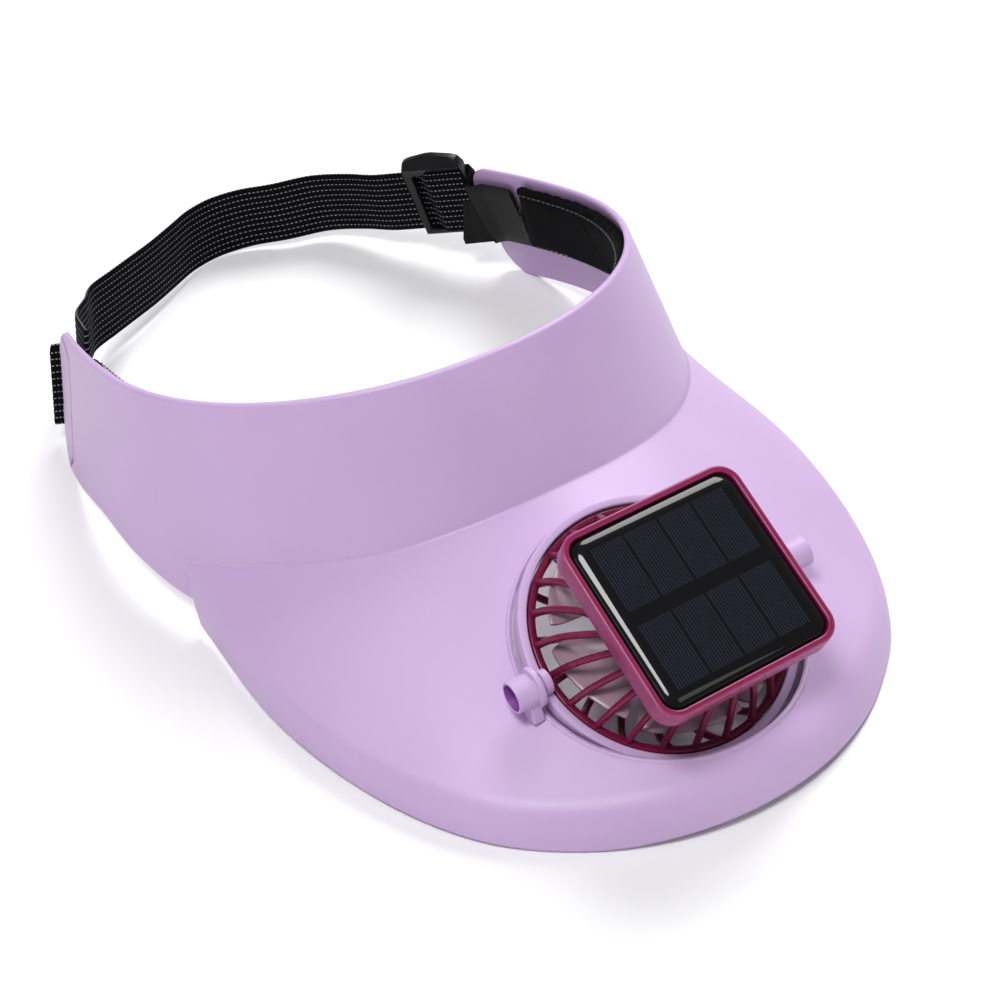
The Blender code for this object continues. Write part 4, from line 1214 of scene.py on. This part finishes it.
# The elastic strap: woven black elastic with rows of grey covered rubber threads. It is stitched round the
# left tab, waves a little behind the head and runs over and under the bars of the slide buckle.
STRAP_WIDTH = 0.0242
STRAP_WALL = 0.0014
STRAP_TOP = 0.0010
STRAP_REACH = 0.0720
STRAP_RIBS = 11
RIB_RELIEF = 0.00012
# The weave's grey dashes, in millimetres as its UV map is
THREAD_HALF_WIDTH = 0.17
DASH_HALF_PITCH = 0.8
DASH_HALF_LENGTH = 0.42
LINE_STEPS = 12
# Over how many steps a strap's sideways direction is smoothed, on the long strap and on the short pieces
STRAP_SPREAD = 28
SHORT_SPREAD = 4
SELVEDGE_ROUNDING = 0.9
LOOP_WALL = 0.0040
BUCKLE_LENGTH = 0.0234
BUCKLE_WALL = 0.0024
BUCKLE_BAR = 0.0026
BUCKLE_TOP_BAR = 0.0070
BUCKLE_SHIFT = 0.0068
BUCKLE_FOOT_BAR = 0.0018
BUCKLE_PLAY = 0.0001
BUCKLE_COVER = 0.0008
# The strap's way through the buckle: share of half the buckle's length from its middle, and the side of the
# bars, 1 for the outside
WEAVE = ((-1.30, 1), (-0.98, 1), (-0.74, 1), (-0.16, -1), (0.10, -1), (0.60, -1), (0.98, -1))
# Strap route along its upper edge: side place as a share of HEAD_HALF_WIDTH, place behind the tabs as a share
# of STRAP_REACH, rise above the tabs as a share of STRAP_WIDTH
STRAP_ROWS = (
    (-0.830, 0.170, 0.00),
    (-0.755, 0.290, 0.00),
    (-0.690, 0.420, 0.00),
    (-0.563, 0.515, 0.01),
    (-0.445, 0.590, 0.03),
    (-0.323, 0.670, 0.05),
    (-0.183, 0.785, 0.07),
    (-0.046, 0.887, 0.10),
    (0.084, 0.937, 0.10),
    (0.199, 0.907, 0.10),
    (0.330, 0.820, 0.08),
    (0.502, 0.748, 0.05),
    (0.620, 0.587, 0.02),
    (0.685, 0.440, 0.00),
    (0.714, 0.335, 0.00),
)


def woven_elastic():
    """Black covered elastic with eleven rows of grey dashes. The UV map is in millimetres."""
    settings = {"Roughness": 0.85, "Sheen Weight": 0.02, "Sheen Roughness": 0.4, "Specular IOR Level": 0.06}
    settings["Sheen Tint"] = linear("#7C7C82")
    material, tree, shader = new_finish("black_woven_elastic", settings)
    weave = add_node(tree, "UVMap", {"uv_map": "weave"}).outputs[0]
    along, across = add_node(tree, "SeparateXYZ", {}, {0: weave}).outputs[:2]
    row = worked(tree, "PINGPONG", across, 1000 * STRAP_WIDTH / STRAP_RIBS / 2)
    dash = worked(tree, "PINGPONG", along, DASH_HALF_PITCH)
    shown = worked(
        tree, "MULTIPLY", worked(tree, "LESS_THAN", row, THREAD_HALF_WIDTH),
        worked(tree, "LESS_THAN", dash, DASH_HALF_LENGTH),
    )
    # Yarn of 0.35 mm across and 0.8 mm along, as one cross-laid grain
    stretch = add_node(tree, "Mapping", {"Scale": (1 / 0.8, 1 / 0.35, 1.0)}, {"Vector": weave}).outputs[0]
    yarn = noise(tree, stretch, 1.0, 2.0)
    feed(tree, shader, {
        "Base Color": mixed(tree, shown, mixed(tree, yarn, "#040405", "#0E0E10"), "#8A8A90"),
        "Normal": bumps(tree, yarn, 0.5, 0.0003),
    })
    return material


def smooth_line(points):
    """A smooth line through points, in LINE_STEPS steps from each point to the next."""
    points = np.array([tuple(p) for p in points])
    length = np.append(0.0, np.cumsum(np.hypot(*np.diff(points[:, :2], axis=0).T)))
    slopes = np.gradient(points, length, axis=0)
    steps = np.arange((len(points) - 1) * LINE_STEPS + 1) / LINE_STEPS
    places = np.interp(steps, np.arange(len(points)), length)
    return [Vector(smooth_read(length, points, slopes, place)) for place in places]


def strap_down(out):
    """The downward direction on a strap that leans out as the band's tabs do."""
    lean = math.radians(band_section(1.0)[0])
    return out * math.sin(lean) + Vector((0, 0, -math.cos(lean)))


def strap_mesh(line, spread, width, wall, ribs, lean=None):
    """A strap that stands on edge below a line, with a rounded selvedge and ribs along it."""
    outs = []
    for i in range(len(line)):
        ahead = line[min(i + spread, len(line) - 1)] - line[max(i - spread, 0)]
        out = Vector((-ahead.y, ahead.x, 0.0)).normalized()
        outs.append(out if out.dot(line[i]) > 0 else -out)
    length = line_lengths(line)
    bm, back = new_sheet(len(line) - 1, max(4 * ribs, 12))
    uv = bm.loops.layers.uv.new("weave")
    spots = {}
    for vert in bm.verts:
        i = round((vert.co.x + 1) / 2 * (len(line) - 1))
        level = (1 - vert.co.y) / 2
        edge = min(level, 1 - level) * width
        relief = RIB_RELIEF * math.cos(2 * math.pi * level * ribs) if ribs else 0.0
        half = wall / 2 - rounding(edge, wall / 2) * SELVEDGE_ROUNDING + relief - RIB_RELIEF
        middle = line[i] + strap_down(lean or outs[i]) * width * level
        vert.co = middle + outs[i] * half
        vert[back] = middle - outs[i] * half
        spots[vert] = Vector((length[i], level * width)) * 1000
    for face in bm.faces:
        for loop in face.loops:
            loop[uv].uv = spots[loop.vert]
    give_wall(bm, back)
    return bm


def buckle_place():
    """The buckle's centre and its direction along the strap, seen from above."""
    last = Vector((STRAP_ROWS[-1][0] * HEAD_HALF_WIDTH, TAB_REACH + STRAP_ROWS[-1][1] * STRAP_REACH, 0.0))
    tab = band_point(1.0, STRAP_TOP, -GAP)
    tab.z = 0.0
    along = (tab - last).normalized()
    return last + along * (BUCKLE_LENGTH / 2 + BUCKLE_SHIFT), along


buckle_centre, buckle_along = buckle_place()
buckle_out = Vector((-buckle_along.y, buckle_along.x, 0.0))
buckle_out = buckle_out if buckle_out.dot(buckle_centre) > 0 else -buckle_out
strap_level = Vector((0.0, 0.0, -STRAP_TOP))
WEAVE_STEP = BUCKLE_WALL / 2 + STRAP_WALL / 2 + 2 * GAP
route = [band_point(share, STRAP_TOP, -2 * GAP - LOOP_WALL - STRAP_WALL / 2) for share in (-0.95, -0.98)]
for x, y, rise in STRAP_ROWS[:-1]:
    route.append(Vector((x * HEAD_HALF_WIDTH, TAB_REACH + y * STRAP_REACH, rise * STRAP_WIDTH)) + strap_level)
for ahead, through in WEAVE:
    place = buckle_centre + strap_level + buckle_along * (BUCKLE_LENGTH / 2 * ahead)
    route.append(place + buckle_out * (WEAVE_STEP * through))
ELASTIC = woven_elastic()
elastic_bm = strap_mesh(smooth_line(route), STRAP_SPREAD, STRAP_WIDTH, STRAP_WALL, STRAP_RIBS)
elastic = add_piece("woven_elastic_strap", elastic_bm, HAT, ELASTIC, 70.0)
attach(elastic, "root")
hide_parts("elastic_strap")

# The strap's left end: the same elastic folded round the tab's end and sewn to itself, a thick flat loop
LOOP_TOP = 0.0072
LOOP_WIDTH = 0.0272
LOOP_SHARES = (-0.90, -0.94, -0.98)
# The fold behind the tab, as places behind its end and outside its inner face
LOOP_FOLD = ((0.0020, -0.0008), (0.0044, 0.0016), (0.0058, 0.0038))
loop_line = [band_point(share, LOOP_TOP, -GAP - LOOP_WALL / 2) for share in LOOP_SHARES]
tab_end = band_point(-1.0, LOOP_TOP, 0.0)
rearward = (tab_end - band_point(LOOP_SHARES[-1], LOOP_TOP, 0.0)).normalized()
for back_step, outset in LOOP_FOLD:
    loop_line.append(tab_end + rearward * back_step + rim_normal(-1.0) * outset)
loop_route = smooth_line(loop_line)
loop_bm = strap_mesh(loop_route, SHORT_SPREAD, LOOP_WIDTH, LOOP_WALL, STRAP_RIBS, rim_normal(-1.0))
loop = add_piece("folded_strap_end", loop_bm, HAT, ELASTIC, 70.0)
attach(loop, "root")
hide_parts("strap_loop_left")

# The right flap: a smooth black webbing loop, sewn into the right tab, that holds the slide buckle
FLAP_WALL = 0.0018
FLAP_SLACK = 0.0006
FLAP_DROP = 0.0040
FLAP_HOLD = (0.45, 1.10)
FLAP_SHARES = (1.0, 0.95, 0.905, 0.875)


def smooth_webbing():
    """Tightly woven black polyester webbing with a dull shine and a weave of 0.25 mm."""
    settings = {"Roughness": 0.62, "Sheen Weight": 0.03, "Specular IOR Level": 0.2}
    material, tree, shader = new_finish("smooth_black_webbing", settings)
    weave = add_node(tree, "UVMap", {"uv_map": "weave"}).outputs[0]
    yarn = add_node(tree, "TexWave", {"Scale": 1.25, "Distortion": 1.0}, {"Vector": weave}).outputs["Fac"]
    feed(tree, shader, {
        "Base Color": mixed(tree, yarn, "#050506", "#0C0C0E"),
        "Normal": bumps(tree, yarn, 0.15, 0.0002),
    })
    return material


flap_out = buckle_out * (BUCKLE_WALL / 2 + FLAP_WALL / 2 + GAP)
flap_line = []
for ahead in FLAP_HOLD:
    flap_line.append(buckle_centre + strap_level + buckle_along * (BUCKLE_LENGTH / 2 * ahead) + flap_out)
for share in FLAP_SHARES:
    flap_line.append(band_point(share, STRAP_TOP + FLAP_DROP, -GAP - FLAP_SLACK - FLAP_WALL / 2))
flap_bm = strap_mesh(smooth_line(flap_line), SHORT_SPREAD, STRAP_WIDTH, FLAP_WALL, 0)
flap = add_piece("webbing_flap", flap_bm, HAT, smooth_webbing(), 70.0)
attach(flap, "root")
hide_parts("strap_flap_right")

# The slide buckle: a moulded black acetal frame with a middle bar. Its top bar is thicker and domed.
BUCKLE_ROUND = 0.0006
# The top bar's thickness beside the frame's, its narrower upper edge, and its dome and the drop towards its
# ends as shares of its height
TOP_THICKER = 2.2
TOP_NARROWER = 0.90
TOP_DOME = 0.20
TOP_DROP = 0.45


def black_acetal():
    """Moulded acetal: satin black with a faint grain of 0.3 mm."""
    material, tree, shader = new_finish("black_acetal", {"IOR": 1.48, "Specular IOR Level": 0.35})
    place = add_node(tree, "TexCoord").outputs["Object"]
    grain = noise(tree, place, 0.0003, 2.0)
    cloud = noise(tree, place, 0.006, 2.0)
    feed(tree, shader, {
        "Base Color": mixed(tree, cloud, "#060607", "#0D0D0F"),
        "Roughness": between(tree, cloud, 0.28, 0.42),
        "Normal": bumps(tree, grain, 0.1, 0.0002),
    })
    return material


def buckle_mesh():
    window = STRAP_WIDTH / 2 + BUCKLE_PLAY
    half = BUCKLE_LENGTH / 2
    columns = (-half, -half + BUCKLE_BAR, -BUCKLE_BAR / 2, BUCKLE_BAR / 2, half - BUCKLE_BAR, half)
    foot, head = -window + BUCKLE_COVER, window - BUCKLE_COVER
    levels = (foot - BUCKLE_FOOT_BAR, foot, head, head + BUCKLE_TOP_BAR / 2, head + BUCKLE_TOP_BAR)
    bm = bmesh.new()
    bmesh.ops.create_grid(bm, x_segments=5, y_segments=4, size=1.0)
    for vert in bm.verts:
        column = round((vert.co.x + 1) / 2 * 5)
        level = round((vert.co.y + 1) / 2 * 4)
        vert.co = (columns[column], -BUCKLE_WALL / 2, levels[level])
    holes = []
    for face in bm.faces:
        centre = face.calc_center_median()
        if abs(centre.z) < window and BUCKLE_BAR / 2 < abs(centre.x) < half - BUCKLE_BAR:
            holes.append(face)
    bmesh.ops.delete(bm, geom=holes, context="FACES")
    made = bmesh.ops.extrude_face_region(bm, geom=bm.faces[:], use_keep_orig=True)["geom"]
    made = [part for part in made if isinstance(part, bmesh.types.BMVert)]
    bmesh.ops.translate(bm, verts=made, vec=(0, BUCKLE_WALL, 0))
    bmesh.ops.recalc_face_normals(bm, faces=bm.faces)
    for vert in bm.verts:
        if abs(vert.co.z - levels[3]) < 1e-6:
            vert.co.y *= TOP_THICKER
        if abs(vert.co.z - levels[4]) < 1e-6:
            vert.co.x *= TOP_NARROWER
            vert.co.z += BUCKLE_TOP_BAR * (TOP_DOME - TOP_DROP * (vert.co.x / half) ** 4)
    round_off(bm, sharp_edges(bm.edges, 25), BUCKLE_ROUND)
    return bm


buckle_down = strap_down(buckle_out)
buckle_middle = buckle_centre + strap_level + buckle_down * STRAP_WIDTH / 2
buckle_turn = Matrix((buckle_along, buckle_along.cross(buckle_down), -buckle_down)).transposed().to_4x4()
buckle_set = HAT @ Matrix.Translation(buckle_middle) @ buckle_turn
buckle = add_piece("slide_buckle_moulding", buckle_mesh(), buckle_set, black_acetal(), 35.0)
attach(buckle, "root")
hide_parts("slide_buckle")

# The stage: a plain white floor under large soft lamps
FLOOR_HALF_SIDE = 3.0


def white_floor():
    """Plain matt white card."""
    return new_finish("white_card", {"Roughness": 0.9, "Base Color": linear("#F4F4F5")})[0]


floor_bm = bmesh.new()
bmesh.ops.create_grid(floor_bm, x_segments=1, y_segments=1, size=FLOOR_HALF_SIDE)
floor = add_piece("floor", floor_bm, Matrix.Identity(4), white_floor())


def softbox(name, place, aim, side, power):
    """A square soft lamp that faces its aim."""
    data = bpy.data.lights.new(name, "AREA")
    data.size = side
    data.energy = power
    lamp = bpy.data.objects.new(name, data)
    bpy.context.scene.collection.objects.link(lamp)
    turn = (Vector(aim) - Vector(place)).to_track_quat("-Z", "Y").to_matrix().to_4x4()
    lamp.matrix_world = Matrix.Translation(place) @ turn


HAT_MIDDLE = (0.0, -0.03, 0.03)
softbox("key_light", (0.9, 0.7, 1.3), HAT_MIDDLE, 0.9, 22.5)
softbox("streak_light", (-0.50, -0.45, 1.50), HAT_MIDDLE, 0.5, 15.5)
softbox("fill_light", (-1.3, -0.3, 0.8), HAT_MIDDLE, 0.8, 2.0)
softbox("front_light", (0.45, -1.5, 0.9), HAT_MIDDLE, 0.6, 2.0)
WORLD_STRENGTH = 0.28
world = bpy.data.worlds.new("studio")
bpy.context.scene.world = world
world.use_nodes = True
background = world.node_tree.nodes["Background"]
background.inputs["Color"].default_value = linear("#F2F2F6")
background.inputs["Strength"].default_value = WORLD_STRENGTH
bpy.context.scene.view_settings.view_transform = "Standard"
